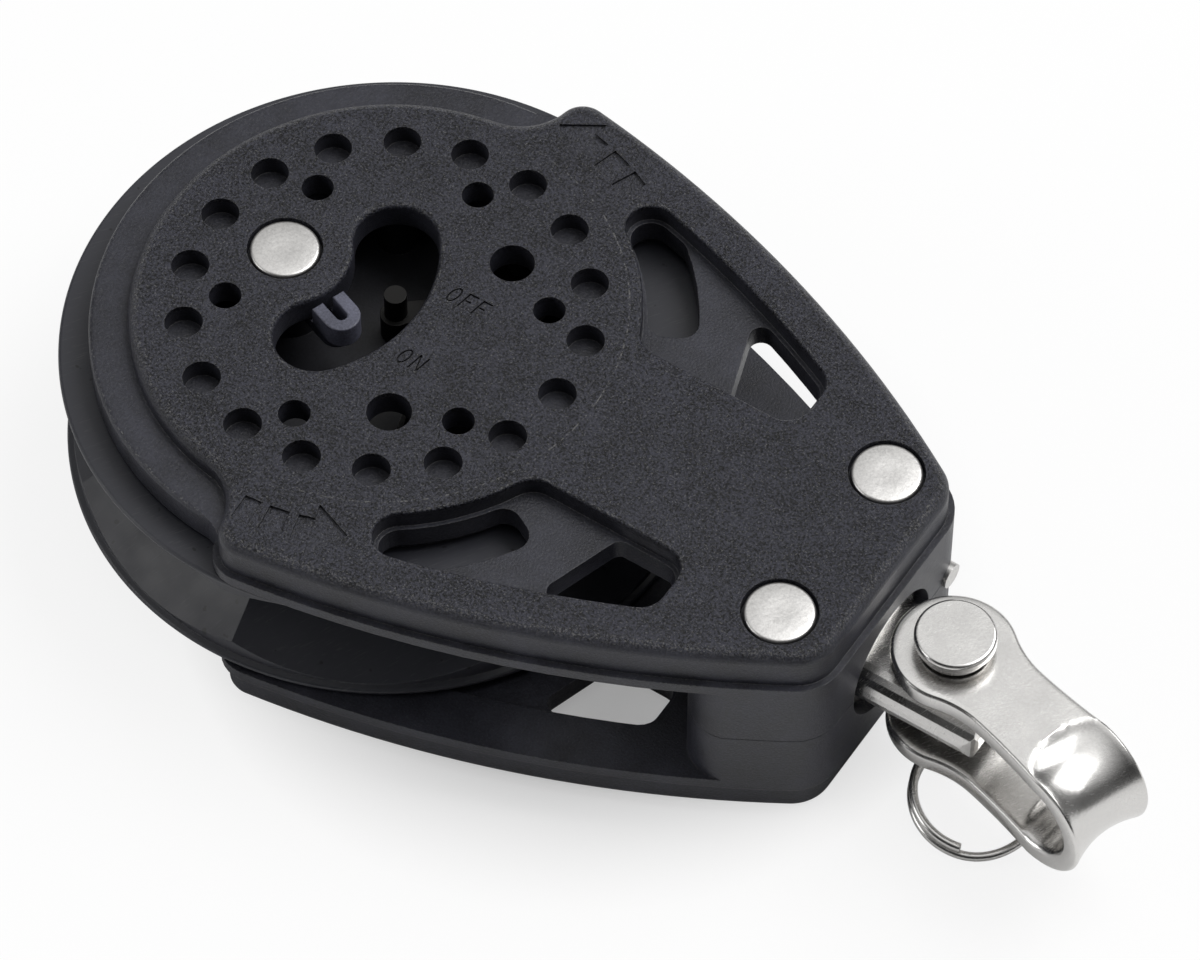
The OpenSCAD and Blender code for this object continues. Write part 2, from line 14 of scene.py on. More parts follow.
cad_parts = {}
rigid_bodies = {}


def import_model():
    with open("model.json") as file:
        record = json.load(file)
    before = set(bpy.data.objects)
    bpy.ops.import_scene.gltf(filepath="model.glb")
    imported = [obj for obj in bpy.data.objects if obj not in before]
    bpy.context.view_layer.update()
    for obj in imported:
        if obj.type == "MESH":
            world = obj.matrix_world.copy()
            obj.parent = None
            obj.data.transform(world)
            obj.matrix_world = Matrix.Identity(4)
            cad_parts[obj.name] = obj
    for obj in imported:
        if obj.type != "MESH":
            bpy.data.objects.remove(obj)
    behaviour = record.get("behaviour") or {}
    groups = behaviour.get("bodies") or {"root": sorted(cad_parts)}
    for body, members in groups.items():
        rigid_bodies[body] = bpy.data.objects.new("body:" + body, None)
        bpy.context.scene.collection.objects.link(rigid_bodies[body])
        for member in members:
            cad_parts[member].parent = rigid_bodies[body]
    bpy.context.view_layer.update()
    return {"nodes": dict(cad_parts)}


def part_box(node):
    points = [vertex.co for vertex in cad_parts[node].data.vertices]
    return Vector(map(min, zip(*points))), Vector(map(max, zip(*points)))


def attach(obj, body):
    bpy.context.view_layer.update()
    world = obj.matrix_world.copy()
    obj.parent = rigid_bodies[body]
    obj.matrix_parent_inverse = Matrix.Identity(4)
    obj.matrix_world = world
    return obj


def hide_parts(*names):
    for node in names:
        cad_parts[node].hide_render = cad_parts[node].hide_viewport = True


bl_info = {
    "name": "Ratchet Block Looks",
    "version": (1, 0, 0),
    "blender": (4, 5, 0),
    "location": "View3D > Sidebar > Block",
    "description": "Builds the looks of a ratchet block round its packed solids",
    "category": "Object",
}

for leftover in list(bpy.data.objects):
    bpy.data.objects.remove(leftover)
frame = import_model()
MM = 0.001


def middle(node):
    """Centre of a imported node's box."""
    low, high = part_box(node)
    return (low + high) / 2


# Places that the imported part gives
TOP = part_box("upper_cheek")[1].z
HEAD_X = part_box("upper_cheek")[1].x
SHEAVE_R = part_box("sheave")[1].x
SHEAVE_HALF = (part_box("sheave")[1].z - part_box("sheave")[0].z) / 2
MID = middle("sheave").z
PIVOT = middle("hub_rivet")
RIVET_HEAD_R = PIVOT.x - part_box("hub_rivet")[0].x
HEAD_RIVET = Vector(
    (middle("head_rivets").x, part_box("head_rivets")[1].y - RIVET_HEAD_R, PIVOT.z))
PIN = Vector((middle("clevis_pin").x, 0, MID))

# Tolerances of the mesh work
MERGE = 0.002 * MM
LEVEL = 0.01 * MM
FLAT_ANGLE = math.radians(0.6)
SHARP_ANGLE = 1


class BlockSizes(bpy.types.PropertyGroup):
    """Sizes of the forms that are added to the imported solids."""

    edge_round: FloatProperty(
        name="Edge round", description="Radius of the edge round a cheek's face",
        default=1.3 * MM, min=0.1 * MM, max=1.8 * MM, unit="LENGTH")
    kidney_round: FloatProperty(
        name="Slot edge", description="Radius of the edge of the kidney slot",
        default=0.6 * MM, min=0.1 * MM, max=1 * MM, unit="LENGTH")
    window_edge: FloatProperty(
        name="Window edge", description="Radius of the edge round a window's recess",
        default=0.35 * MM, min=0.05 * MM, max=0.5 * MM, unit="LENGTH")
    seam_edge: FloatProperty(
        name="Seam edge", description="Radius of the edges where the cheeks meet",
        default=0.1 * MM, min=0.02 * MM, max=0.3 * MM, unit="LENGTH")
    mark_depth: FloatProperty(
        name="Mark depth", description="Depth of the arrows in the face",
        default=0.28 * MM, min=0.05 * MM, max=0.4 * MM, unit="LENGTH")
    letter_height: FloatProperty(
        name="Letter height", description="Height of the switch's letters",
        default=1.75 * MM, min=1 * MM, max=3 * MM, unit="LENGTH")
    strap_edge: FloatProperty(
        name="Strap edge", description="Radius of the edges of the shackle's strap",
        default=0.42 * MM, min=0.1 * MM, max=0.8 * MM, unit="LENGTH")
    saddle_depth: FloatProperty(
        name="Saddle depth", description="Depth of the scoop in the shackle's bow",
        default=0.9 * MM, min=0.2 * MM, max=1.2 * MM, unit="LENGTH")
    flats: IntProperty(
        name="Flats", description="Flats round the sheave's groove", default=8, min=6, max=10)


class BlockColours(bpy.types.PropertyGroup):
    """Colours of the block's materials."""

    nylon: FloatVectorProperty(
        name="Nylon", description="Moulded nylon of the cheeks", subtype="COLOR", size=4,
        default=(0.0225, 0.0232, 0.0315, 1), min=0, max=1)
    # Pale colour of rubbed nylon, specks and scratches, also painted along the cheeks' edges as a
    # highlight
    worn: FloatVectorProperty(
        name="Worn nylon", description="Nylon that has rubbed pale", subtype="COLOR", size=4,
        default=(0.16, 0.158, 0.155, 1), min=0, max=1)
    alloy: FloatVectorProperty(
        name="Sheave", description="Hard dark coat of the sheave", subtype="COLOR", size=4,
        default=(0.024, 0.025, 0.0325, 1), min=0, max=1)
    steel: FloatVectorProperty(
        name="Steel", description="Stainless steel", subtype="COLOR", size=4,
        default=(0.66, 0.65, 0.635, 1), min=0, max=1)
    acetal: FloatVectorProperty(
        name="Acetal", description="Balls and washer", subtype="COLOR", size=4,
        default=(0.72, 0.71, 0.68, 1), min=0, max=1)


class BlockStage(bpy.types.PropertyGroup):
    """Camera and floor."""

    camera_at: FloatVectorProperty(
        name="Camera", description="Where the camera stands", subtype="TRANSLATION", unit="LENGTH",
        default=(0.1949, -0.26371, 0.46531))
    camera_aim: FloatVectorProperty(
        name="Aim", description="Point that the camera looks at",
        subtype="TRANSLATION", unit="LENGTH",
        default=(0.02092, 0.0013, 0.0116))
    lens: FloatProperty(
        name="Lens", description="Focal length in millimetres on a sensor 36 mm wide",
        default=192.95)
    floor_half: FloatProperty(
        name="Floor", description="Half the width of the floor", default=3, unit="LENGTH")


def sizes():
    return bpy.context.scene.block_sizes


def colours():
    return bpy.context.scene.block_colours


# Mesh helpers


def in_scene(name, data):
    """A new object that holds the data, linked to the scene."""
    obj = bpy.data.objects.new(name, data)
    bpy.context.scene.collection.objects.link(obj)
    return obj


def mesh_from(name, bm):
    """A mesh made of a bmesh, which is freed."""
    mesh = bpy.data.meshes.new(name)
    bm.to_mesh(mesh)
    bm.free()
    return mesh


def verts_in(geom):
    return [g for g in geom if isinstance(g, bmesh.types.BMVert)]


def discard(obj):
    mesh = obj.data
    bpy.data.objects.remove(obj)
    bpy.data.meshes.remove(mesh)


def carve(bm, tool_bm, operation):
    """The bmesh cut by the tool or kept inside it. The work is done in millimetres, to be exact."""
    for part in (bm, tool_bm):
        bmesh.ops.scale(part, vec=(1 / MM,) * 3, verts=part.verts)
    base, tool = (in_scene("temporary", mesh_from("temporary", part)) for part in (bm, tool_bm))
    boolean = base.modifiers.new("carve", "BOOLEAN")
    boolean.operation = operation
    boolean.solver = "EXACT"
    boolean.object = tool
    graph = bpy.context.evaluated_depsgraph_get()
    mesh = bpy.data.meshes.new_from_object(base.evaluated_get(graph))
    result = bmesh.new()
    result.from_mesh(mesh)
    bpy.data.meshes.remove(mesh)
    discard(base)
    discard(tool)
    bmesh.ops.scale(result, vec=(MM,) * 3, verts=result.verts)
    return result


def piece(name, bm, body, slot, replaced=(), sharp=30):
    """A finished piece at the origin that rides on a body, smooth up to the sharp angle."""
    mesh = mesh_from(name, bm)
    stale = mesh.attributes.get("custom_normal")
    if stale:
        mesh.attributes.remove(stale)
    mesh.polygons.foreach_set("use_smooth", [True] * len(mesh.polygons))
    mesh.set_sharp_from_angle(angle=math.radians(sharp))
    mesh.materials.clear()
    mesh.materials.append(finish_of(slot))
    obj = in_scene(name, mesh)
    weighted = obj.modifiers.new("Weighted normals", "WEIGHTED_NORMAL")
    weighted.keep_sharp = True
    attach(obj, body)
    if replaced:
        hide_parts(*replaced)


def mapped_grid(u_count, v_count, place):
    """A grid whose every point goes to place(i, j), with its seam and its poles closed."""
    bm = bmesh.new()
    bmesh.ops.create_grid(bm, x_segments=u_count, y_segments=v_count, size=1)
    for vert in bm.verts:
        i = round((vert.co.x + 1) / 2 * u_count)
        j = round((vert.co.y + 1) / 2 * v_count)
        vert.co = place(i, j)
    bmesh.ops.remove_doubles(bm, verts=bm.verts, dist=MERGE)
    bmesh.ops.recalc_face_normals(bm, faces=bm.faces)
    return bm


def swing(bm, vert, centre, angle, steps):
    """Spins a vertex about an upright axis through the centre and returns the arc's last vertex."""
    made = bmesh.ops.spin(
        bm, geom=[vert], cent=(centre.x, centre.y, vert.co.z), axis=(0, 0, 1), angle=angle,
        steps=steps)
    return made["geom_last"][0]


def angle_to(a, b):
    return math.atan2(b.y - a.y, b.x - a.x)


def lift(bm, faces, height):
    """Extrudes faces upwards and returns the faces on top."""
    made = bmesh.ops.extrude_face_region(bm, geom=faces)["geom"]
    bmesh.ops.translate(bm, verts=verts_in(made), vec=(0, 0, height))
    return [g for g in made if isinstance(g, bmesh.types.BMFace)]


# Cheeks

# Outline of a cheek's face: a disc, a hollow, a shoulder, a long side and a head corner
FACE_R = SHEAVE_R - 6.25 * MM
SIDE_R = 119.2 * MM
SIDE_C = Vector((-13.1 * MM, SHEAVE_R + 1.2 * MM - SIDE_R))
BAND_IN = 0.6 * MM
SHOULDER_R = 3 * MM
SHOULDER_X = 3.2 * MM
HOLLOW_R = 4.5 * MM
CORNER_R = 4.5 * MM
DISC_STEPS = 60
HOLLOW_STEPS = 14
SHOULDER_STEPS = 16
SIDE_STEPS = 24
CORNER_STEPS = 14

# The body that a cheek is kept inside: its rounded edge, its wide foot and the play round a face
EDGE_STEPS = 7
FOOT_SPREAD = 2.5
FOOT_CENTRE = Vector((10 * MM, 0, 0))
TRIM = 0.015 * MM
TOP_TRIM = 0.004 * MM


def on_side(x, r):
    return SIDE_C.y + math.sqrt(r * r - (x - SIDE_C.x) ** 2)


def left_meet(r0, c, r1):
    """The left one of two points that lie r0 from the origin and r1 from c."""
    d = c.length
    a = (r0 * r0 - r1 * r1 + d * d) / (2 * d)
    h = math.sqrt(r0 * r0 - a * a)
    return c / d * a + Vector((-c.y, c.x)) * (h / d)


def face_outline(bm, z, grow):
    """Closed loop of edges round a cheek's face, grown outwards a little."""
    origin = Vector((0, 0))
    draw_in = BAND_IN - grow
    shoulder = Vector((SHOULDER_X, on_side(SHOULDER_X, SIDE_R - SHOULDER_R)))
    disc_r = FACE_R + grow
    hollow_r = HOLLOW_R + draw_in
    hollow = left_meet(disc_r + hollow_r, shoulder, SHOULDER_R + HOLLOW_R)
    corner = Vector((HEAD_X - CORNER_R, on_side(HEAD_X - CORNER_R, SIDE_R - CORNER_R)))
    into_shoulder = angle_to(hollow, shoulder)
    side_from, side_to = angle_to(SIDE_C, shoulder), angle_to(SIDE_C, corner)
    vert = bm.verts.new((-disc_r, 0, z))
    vert = swing(bm, vert, origin, angle_to(origin, hollow) - math.pi, DISC_STEPS)
    vert = swing(bm, vert, hollow, into_shoulder - angle_to(hollow, origin), HOLLOW_STEPS)
    vert = swing(bm, vert, shoulder, side_from - into_shoulder - math.pi, SHOULDER_STEPS)
    vert = swing(bm, vert, SIDE_C, side_to - side_from, SIDE_STEPS)
    vert = swing(bm, vert, corner, -side_to, CORNER_STEPS)
    bmesh.ops.mirror(bm, geom=bm.verts[:] + bm.edges[:], axis="Y", merge_dist=MERGE)
    ends = [v for v in bm.verts if len(v.link_edges) == 1]
    bm.edges.new(ends)
    return bm.edges[:]


def edge_envelope():
    """A body with the rounded edge of a cheek's face on a wide foot: a cheek is kept inside it."""
    radius = sizes().edge_round
    bm = bmesh.new()
    loop = face_outline(bm, TOP - radius - TRIM, TRIM)
    face = bmesh.ops.contextual_create(bm, geom=loop)["faces"][0]
    top = lift(bm, [face], radius + TRIM + TOP_TRIM)
    bmesh.ops.delete(bm, geom=[face], context="FACES_ONLY")
    rim = [e for e in bm.edges if e.is_boundary]
    foot = bmesh.ops.extrude_edge_only(bm, edges=rim)["geom"]
    spread = Matrix.Diagonal((FOOT_SPREAD, FOOT_SPREAD, 1, 1))
    bmesh.ops.transform(
        bm, matrix=spread, space=Matrix.Translation(-FOOT_CENTRE), verts=verts_in(foot))
    rim = [e for e in bm.edges if e.is_boundary]
    skirt = bmesh.ops.extrude_edge_only(bm, edges=rim)["geom"]
    bmesh.ops.translate(bm, verts=verts_in(skirt), vec=(0, 0, -2 * TOP))
    bmesh.ops.holes_fill(bm, edges=[e for e in bm.edges if e.is_boundary])
    bmesh.ops.bevel(
        bm, geom=top[0].edges[:], offset=radius, segments=EDGE_STEPS, profile=0.5,
        affect="EDGES", material=-1)
    bmesh.ops.recalc_face_normals(bm, faces=bm.faces)
    return bm


def merged_copy(node):
    """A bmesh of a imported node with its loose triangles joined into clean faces."""
    bm = bmesh.new()
    bm.from_mesh(frame["nodes"][node].data)
    bmesh.ops.remove_doubles(bm, verts=bm.verts, dist=MERGE)
    bmesh.ops.dissolve_limit(bm, angle_limit=FLAT_ANGLE, verts=bm.verts, edges=bm.edges)
    return bm


def flip_over(bm):
    """Turns the block's upper half into its lower half."""
    mirror = Matrix.Translation((0, 0, TOP)) @ Matrix.Diagonal((1, 1, -1, 1))
    bmesh.ops.transform(bm, matrix=mirror, verts=bm.verts)
    bmesh.ops.reverse_faces(bm, faces=bm.faces)


def ease_edges(bm, level, chosen, radius, segments):
    """Rounds the sharp edges at a level that the test chooses by their middle."""
    edges = []
    for edge in bm.edges:
        a, b = (v.co for v in edge.verts)
        there = abs(a.z - level) < LEVEL and abs(b.z - level) < LEVEL
        sharp = len(edge.link_faces) == 2 and edge.calc_face_angle(0) > SHARP_ANGLE
        if there and sharp and chosen((a + b) / 2):
            edges.append(edge)
    bmesh.ops.bevel(
        bm, geom=edges, offset=radius, segments=segments, profile=0.5, affect="EDGES", material=-1,
        clamp_overlap=True)


# Where the edges to be rounded lie: about the pivot, along the part, and clear of rivets and screw
KIDNEY_NEAR = 5.8 * MM
KIDNEY_FAR = 13.4 * MM
KIDNEY_SWEEP = math.radians(72)
WINDOW_IN = FACE_R - 0.5 * MM
WINDOW_FROM = 11.3 * MM
WINDOW_TO = HEAD_X - 14 * MM
SEAM_FROM = 7 * MM
SEAM_CLEAR = 2.6 * MM
SCREW_X = HEAD_X - 5 * MM
SCREW_LOW = 7.5 * MM
SCREW_HIGH = 11.4 * MM
WINDOW_STEPS = 3
SEAM_STEPS = 2
KIDNEY_STEPS = 5


def at_kidney(p):
    """Whether a point of the face's plane is on the edge of the kidney slot."""
    away = p - PIVOT
    near = KIDNEY_NEAR < away.xy.length < KIDNEY_FAR
    return near and abs(math.atan2(away.y, away.x)) < KIDNEY_SWEEP


def at_window(p):
    """Whether a point of the face's plane is on the edge of a window."""
    return p.xy.length > WINDOW_IN and WINDOW_FROM < p.x < WINDOW_TO


def at_seam(p):
    """Whether a point of the middle plane is on the outer seam between the two cheeks."""
    off_rivet = (Vector((p.x, abs(p.y))) - HEAD_RIVET.xy).length > SEAM_CLEAR
    at_screw = p.x > SCREW_X and SCREW_LOW < p.y < SCREW_HIGH
    return abs(p.y) > SEAM_FROM and off_rivet and not at_screw


# Arrows along an arc: a head with a short tail, then two bars, as angles behind the tip
ARROW_R = 24.3 * MM
ARROW_HALF = 1.25 * MM
ARROW_HEAD_HALF = 2.7 * MM
ARROW_HEAD = 7.3
ARROW_TAIL = 10.8
ARROW_BARS = [(12.8, 17.3), (19.2, 23.1)]
ARROW_TIPS = [86.2, -63.4]
CUTTER_RISE = 1 * MM


def arrow_cutter(tip):
    """Cutter for one curved direction arrow with its tip at that angle, in degrees."""
    bm = bmesh.new()

    def corner(behind, out):
        turn = math.radians(tip - behind)
        return bm.verts.new(((ARROW_R + out) * math.cos(turn), (ARROW_R + out) * math.sin(turn), 0))

    for start, end in ARROW_BARS:
        between = (start + end) / 2
        near = [corner(a, -ARROW_HALF) for a in (end, between, start)]
        bm.faces.new(near + [corner(a, ARROW_HALF) for a in (start, between, end)])
    side = [(ARROW_TAIL, ARROW_HALF), (ARROW_HEAD, ARROW_HALF), (ARROW_HEAD, ARROW_HEAD_HALF)]
    near = [corner(behind, -out) for behind, out in side]
    far = [corner(behind, out) for behind, out in reversed(side)]
    bm.faces.new(near + [corner(0, 0)] + far)
    return mark_cutter(bm)


def mark_cutter(bm):
    """Turns flat faces at level 0 into a cutter through the face's plane."""
    lift(bm, bm.faces[:], CUTTER_RISE)
    bmesh.ops.translate(bm, verts=bm.verts, vec=(0, 0, TOP - sizes().mark_depth))
    bmesh.ops.recalc_face_normals(bm, faces=bm.faces)
    return bm


# Letters of the switch, as shares of their height: width, stroke, middle bar, step and slant
LETTER_WIDTH = 0.55
STROKE = 0.1
BAR_LEVEL = 0.45
BAR_END = 0.8 * LETTER_WIDTH
O_SIDES = 24
LETTER_STEP = 0.8
LETTER_SLANT = 0.18
LETTERS = [("OFF", (3.7 * MM, 3 * MM)), ("ON", (3.8 * MM, -4.7 * MM))]


def letter_face(bm, letter, x):
    """Flat face or ring of a capital letter of height 1 whose left side is at x."""
    w, t = LETTER_WIDTH, STROKE
    if letter == "O":
        rings = []
        for inside in (0, t):
            shape = Matrix.Translation((x + w / 2, 0.5, 0))
            shape = shape @ Matrix.Diagonal((w / 2 - inside, 0.5 - inside, 1, 1))
            verts = bmesh.ops.create_circle(bm, segments=O_SIDES, radius=1, matrix=shape)["verts"]
            rings += list({e for v in verts for e in v.link_edges})
        bmesh.ops.bridge_loops(bm, edges=rings)
        return
    outlines = {
        "F": [(0, 0), (t, 0), (t, BAR_LEVEL), (BAR_END, BAR_LEVEL), (BAR_END, BAR_LEVEL + t),
              (t, BAR_LEVEL + t), (t, 1 - t), (w, 1 - t), (w, 1), (0, 1)],
        "N": [(0, 0), (t, 0), (t, 1 - 2 * t), (w - t, 0), (w, 0), (w, 1), (w - t, 1),
              (w - t, 2 * t), (t, 1), (0, 1)],
    }
    bm.faces.new([bm.verts.new((x + px, py, 0)) for px, py in outlines[letter]])


def letter_cutter(word, corner):
    """Cutter for a word in thin slanted letters, with its lower left corner at that place."""
    bm = bmesh.new()
    for index, letter in enumerate(word):
        letter_face(bm, letter, index * LETTER_STEP)
    slant = Matrix.Identity(4)
    slant[0][1] = LETTER_SLANT
    place = Matrix.Translation((*corner, 0)) @ Matrix.Scale(sizes().letter_height, 4)
    bmesh.ops.transform(bm, matrix=place @ slant, verts=bm.verts)
    return mark_cutter(bm)


def cheek_shell(node):
    """One cheek with its rounded edges. The lower one is worked upside down."""
    lower = node == "lower_cheek"
    bm = merged_copy(node)
    if lower:
        flip_over(bm)
    bm = carve(bm, edge_envelope(), "INTERSECT")
    bmesh.ops.dissolve_limit(bm, angle_limit=FLAT_ANGLE, verts=bm.verts, edges=bm.edges)
    ease_edges(bm, TOP, at_window, sizes().window_edge, WINDOW_STEPS)
    ease_edges(bm, MID, at_seam, sizes().seam_edge, SEAM_STEPS)
    if not lower:
        ease_edges(bm, TOP, at_kidney, sizes().kidney_round, KIDNEY_STEPS)
        for tip in ARROW_TIPS:
            bm = carve(bm, arrow_cutter(tip), "DIFFERENCE")
        for word, corner in LETTERS:
            bm = carve(bm, letter_cutter(word, corner), "DIFFERENCE")
    if lower:
        flip_over(bm)
    return bm


# Sheave

GROOVE_RIM = SHEAVE_HALF - 0.9 * MM
GROOVE_STEPS = 10
RIM_STEPS = 2
RIM_IN = 0.6 * MM
FLAT_ROOT = SHEAVE_R - 7.8 * MM
FLAT_SLOPE = (SHEAVE_R - RIM_IN - FLAT_ROOT) / GROOVE_RIM
FLAT_TURN = math.radians(5)
BEAD_R = 0.35 * MM
BEAD_FROM = -60
BEAD_STEPS = 8
RIM_EDGE = 0.8 * MM
BORE_R = SHEAVE_R - 10.3 * MM
RACE_PITCH = SHEAVE_R - 11.05 * MM
RACE_R = 2 * MM
RACE_LEVELS = [-3.9 * MM, 0.5 * MM]
RACE_STEPS = 10
RATCHET_R = BORE_R + 0.5 * MM
RATCHET_LOW = 3.2 * MM
SHEAVE_STEPS = 360


def arc(centre, radius, start, end, steps):
    """Points of an arc, as (radius about the axis, level)."""
    angles = [math.radians(start + (end - start) * k / steps) for k in range(steps + 1)]
    return [(centre[0] + radius * math.cos(a), centre[1] + radius * math.sin(a)) for a in angles]


def groove_point(k, turn):
    """Radius and height of step k of half the groove: up a flat to the rim, then along the rim."""
    step = 2 * math.pi / sizes().flats
    widen = 1 / math.cos((turn - FLAT_TURN) % step - step / 2)
    rim = SHEAVE_R - RIM_IN
    edge = min((rim / widen - FLAT_ROOT) / FLAT_SLOPE, GROOVE_RIM)
    if k <= GROOVE_STEPS:
        z = edge * k / GROOVE_STEPS
        return (FLAT_ROOT + FLAT_SLOPE * z) * widen, z
    return rim, edge + (GROOVE_RIM - edge) * (k - GROOVE_STEPS) / RIM_STEPS


def sheave_profile():
    """Section of the sheave: rims as (radius, level), the groove as (None, signed step)."""
    steps = GROOVE_STEPS + RIM_STEPS
    upper = [(None, k) for k in range(steps + 1)]
    upper.append((SHEAVE_R - RIM_IN, SHEAVE_HALF - RIM_EDGE))
    bead = (SHEAVE_R - BEAD_R, SHEAVE_HALF - BEAD_R)
    upper += arc(bead, BEAD_R, BEAD_FROM, 90, BEAD_STEPS)
    lower = [(r, -z) for r, z in reversed(upper[1:])]
    races = [(RATCHET_R, SHEAVE_HALF), (RATCHET_R, RATCHET_LOW), (BORE_R, RATCHET_LOW)]
    half = math.degrees(math.acos((BORE_R - RACE_PITCH) / RACE_R))
    for level in reversed(RACE_LEVELS):
        races += arc((RACE_PITCH, level), RACE_R, half, -half, RACE_STEPS)
    races.append((BORE_R, -SHEAVE_HALF))
    return upper + races + lower


def sheave_body():
    profile = sheave_profile()
    count = len(profile)

    def place(i, j):
        turn = 2 * math.pi * j / SHEAVE_STEPS
        r, z = profile[i % count]
        if r is None:
            side = math.copysign(1, z)
            r, z = groove_point(abs(z), turn)
            z *= side
        return (r * math.cos(turn), r * math.sin(turn), MID + z)

    return mapped_grid(count, SHEAVE_STEPS, place)


# Shackle

EAR_R = 5.4 * MM
STRAP_T = 1.9 * MM
STRAP_OUT = 5.7 * MM
WAIST_HALF = 3.8 * MM
WAIST_R = 9 * MM
BOW_HALF = 4.2 * MM
BOW_REACH = 13.79 * MM
SADDLE_R = 9 * MM
SADDLE_RUN_R = 2.6 * MM
SADDLE_FADE = 0.4
SHACKLE_YAW = math.radians(-15)
PIN_HOLE_R = 2.55 * MM
PIN_HOLE_SIDES = 96
FACE_STEPS = 14
EDGE_ARC = 4
HALF_STEPS = 2 * FACE_STEPS + 2 * EDGE_ARC + 1
LEG_STEPS = 56
BOW_STEPS = 40
FAN_STEPS = 48

WAIST_X = math.sqrt((EAR_R + WAIST_R) ** 2 - (WAIST_HALF + WAIST_R) ** 2)
EAR_END_X = WAIST_X * EAR_R / (EAR_R + WAIST_R)


def strap_half(x):
    """Half the strap's width: the ear's circle, the waist's arc, then a flare to the bow."""
    if x < EAR_END_X:
        return math.sqrt(EAR_R * EAR_R - x * x)
    if x < WAIST_X:
        return WAIST_HALF + WAIST_R - math.sqrt(WAIST_R ** 2 - (x - WAIST_X) ** 2)
    return WAIST_HALF + (BOW_HALF - WAIST_HALF) * ((x - WAIST_X) / (BOW_REACH - WAIST_X)) ** 2


def half_section(i, half):
    """Step i of half a section, from the outer face's middle to the inner one's, as (y, depth)."""
    edge = sizes().strap_edge
    flat = half - edge
    if i <= FACE_STEPS:
        return flat * i / FACE_STEPS, 0
    i -= FACE_STEPS
    if i <= EDGE_ARC:
        a = math.pi / 2 * i / EDGE_ARC
        return flat + edge * math.sin(a), edge * (1 - math.cos(a))
    i -= EDGE_ARC + 1
    if i <= EDGE_ARC:
        a = math.pi / 2 * i / EDGE_ARC
        return flat + edge * math.cos(a), STRAP_T - edge * (1 - math.sin(a))
    i -= EDGE_ARC
    return flat * (1 - i / FACE_STEPS), STRAP_T


def strap_point(x, bend, y, depth):
    """A point of the strap: bend is the angle round the bow, from -90 below to 90 on top."""
    along, across = (x - BOW_REACH) ** 2 / (2 * SADDLE_RUN_R), y * y / (2 * SADDLE_R)
    scoop = max(0, sizes().saddle_depth - along - across)
    r = STRAP_OUT - depth - scoop * (1 - SADDLE_FADE * depth / STRAP_T)
    return Vector((x + r * math.cos(bend), y, r * math.sin(bend)))


def strap_station(j):
    """Place along the strap at step j, as (x, bend)."""
    if j < LEG_STEPS:
        return BOW_REACH * j / LEG_STEPS, -math.pi / 2
    if j <= LEG_STEPS + BOW_STEPS:
        return BOW_REACH, math.pi * ((j - LEG_STEPS) / BOW_STEPS - 0.5)
    return BOW_REACH * (2 * LEG_STEPS + BOW_STEPS - j) / LEG_STEPS, math.pi / 2


def strap_place(i, j):
    x, bend = strap_station(j)
    side = 1 if i <= HALF_STEPS else -1
    step = i if i <= HALF_STEPS else 2 * HALF_STEPS - i
    y, depth = half_section(step, strap_half(x))
    return strap_point(x, bend, side * y, depth)


def ear_place(sign):
    """Placing of the round end of an ear, on top for sign 1 and below for sign -1."""
    def place(i, j):
        r, depth = half_section(i, EAR_R)
        turn = math.pi / 2 + math.pi * j / FAN_STEPS
        return Vector((r * math.cos(turn), r * math.sin(turn), sign * (STRAP_OUT - depth)))
    return place


def shackle_body():
    bm = mapped_grid(2 * HALF_STEPS, 2 * LEG_STEPS + BOW_STEPS, strap_place)
    for sign in (1, -1):
        mesh = mesh_from("ear", mapped_grid(HALF_STEPS, FAN_STEPS, ear_place(sign)))
        bm.from_mesh(mesh)
        bpy.data.meshes.remove(mesh)
    bmesh.ops.remove_doubles(bm, verts=bm.verts, dist=MERGE)
    bmesh.ops.recalc_face_normals(bm, faces=bm.faces)
    hole = bmesh.new()
    bmesh.ops.create_cone(
        hole, cap_ends=True, segments=PIN_HOLE_SIDES, radius1=PIN_HOLE_R, radius2=PIN_HOLE_R,
        depth=4 * STRAP_OUT)
    bm = carve(bm, hole, "DIFFERENCE")
    place = Matrix.Translation(PIN) @ Matrix.Rotation(SHACKLE_YAW, 4, "Z")
    bmesh.ops.transform(bm, matrix=place, verts=bm.verts)
    return bm


# Split ring

WIRE_R = 0.4 * MM
WIRE_PITCH = 1.25 * MM
RING_R = 5.6 * MM
RING_LEVEL = -8.85 * MM
RING_DIR = math.radians(-30)
RING_TILT = math.radians(7)
RING_TURNS = 1.75
RING_START = math.radians(45)
WIRE_SIDES = 16
RING_STEPS = 168
RING_CAPS = 4
CAP_LENGTH = 0.25
LAYER_FROM = 0.75
LAYER_RUN = 0.25


def ring_body():
    """Two layers of round wire with a step between them and rounded ends."""
    def place(i, j):
        inner = min(max(j - RING_CAPS, 0), RING_STEPS)
        t = RING_TURNS * inner / RING_STEPS
        past = (j - RING_CAPS) - inner
        a = 2 * math.pi * t + RING_START + CAP_LENGTH * past / RING_CAPS * WIRE_R / RING_R
        thick = WIRE_R * math.sqrt(max(0, 1 - (past / RING_CAPS) ** 2))
        u = min(max((t - LAYER_FROM) / LAYER_RUN, 0), 1)
        z = WIRE_PITCH * (u * u * (3 - 2 * u) - 0.5)
        b = 2 * math.pi * i / WIRE_SIDES
        r = RING_R + thick * math.cos(b)
        return Vector((r * math.cos(a), r * math.sin(a), z + thick * math.sin(b)))

    bm = mapped_grid(WIRE_SIDES, RING_STEPS + 2 * RING_CAPS, place)
    hang = Matrix.Rotation(RING_DIR, 4, "Z") @ Matrix.Rotation(RING_TILT, 4, "Y")
    at = Matrix.Translation(PIN + Vector((0, 0, RING_LEVEL))) @ hang
    bmesh.ops.transform(bm, matrix=at @ Matrix.Translation((RING_R, 0, 0)), verts=bm.verts)
    return bm


# Rivets

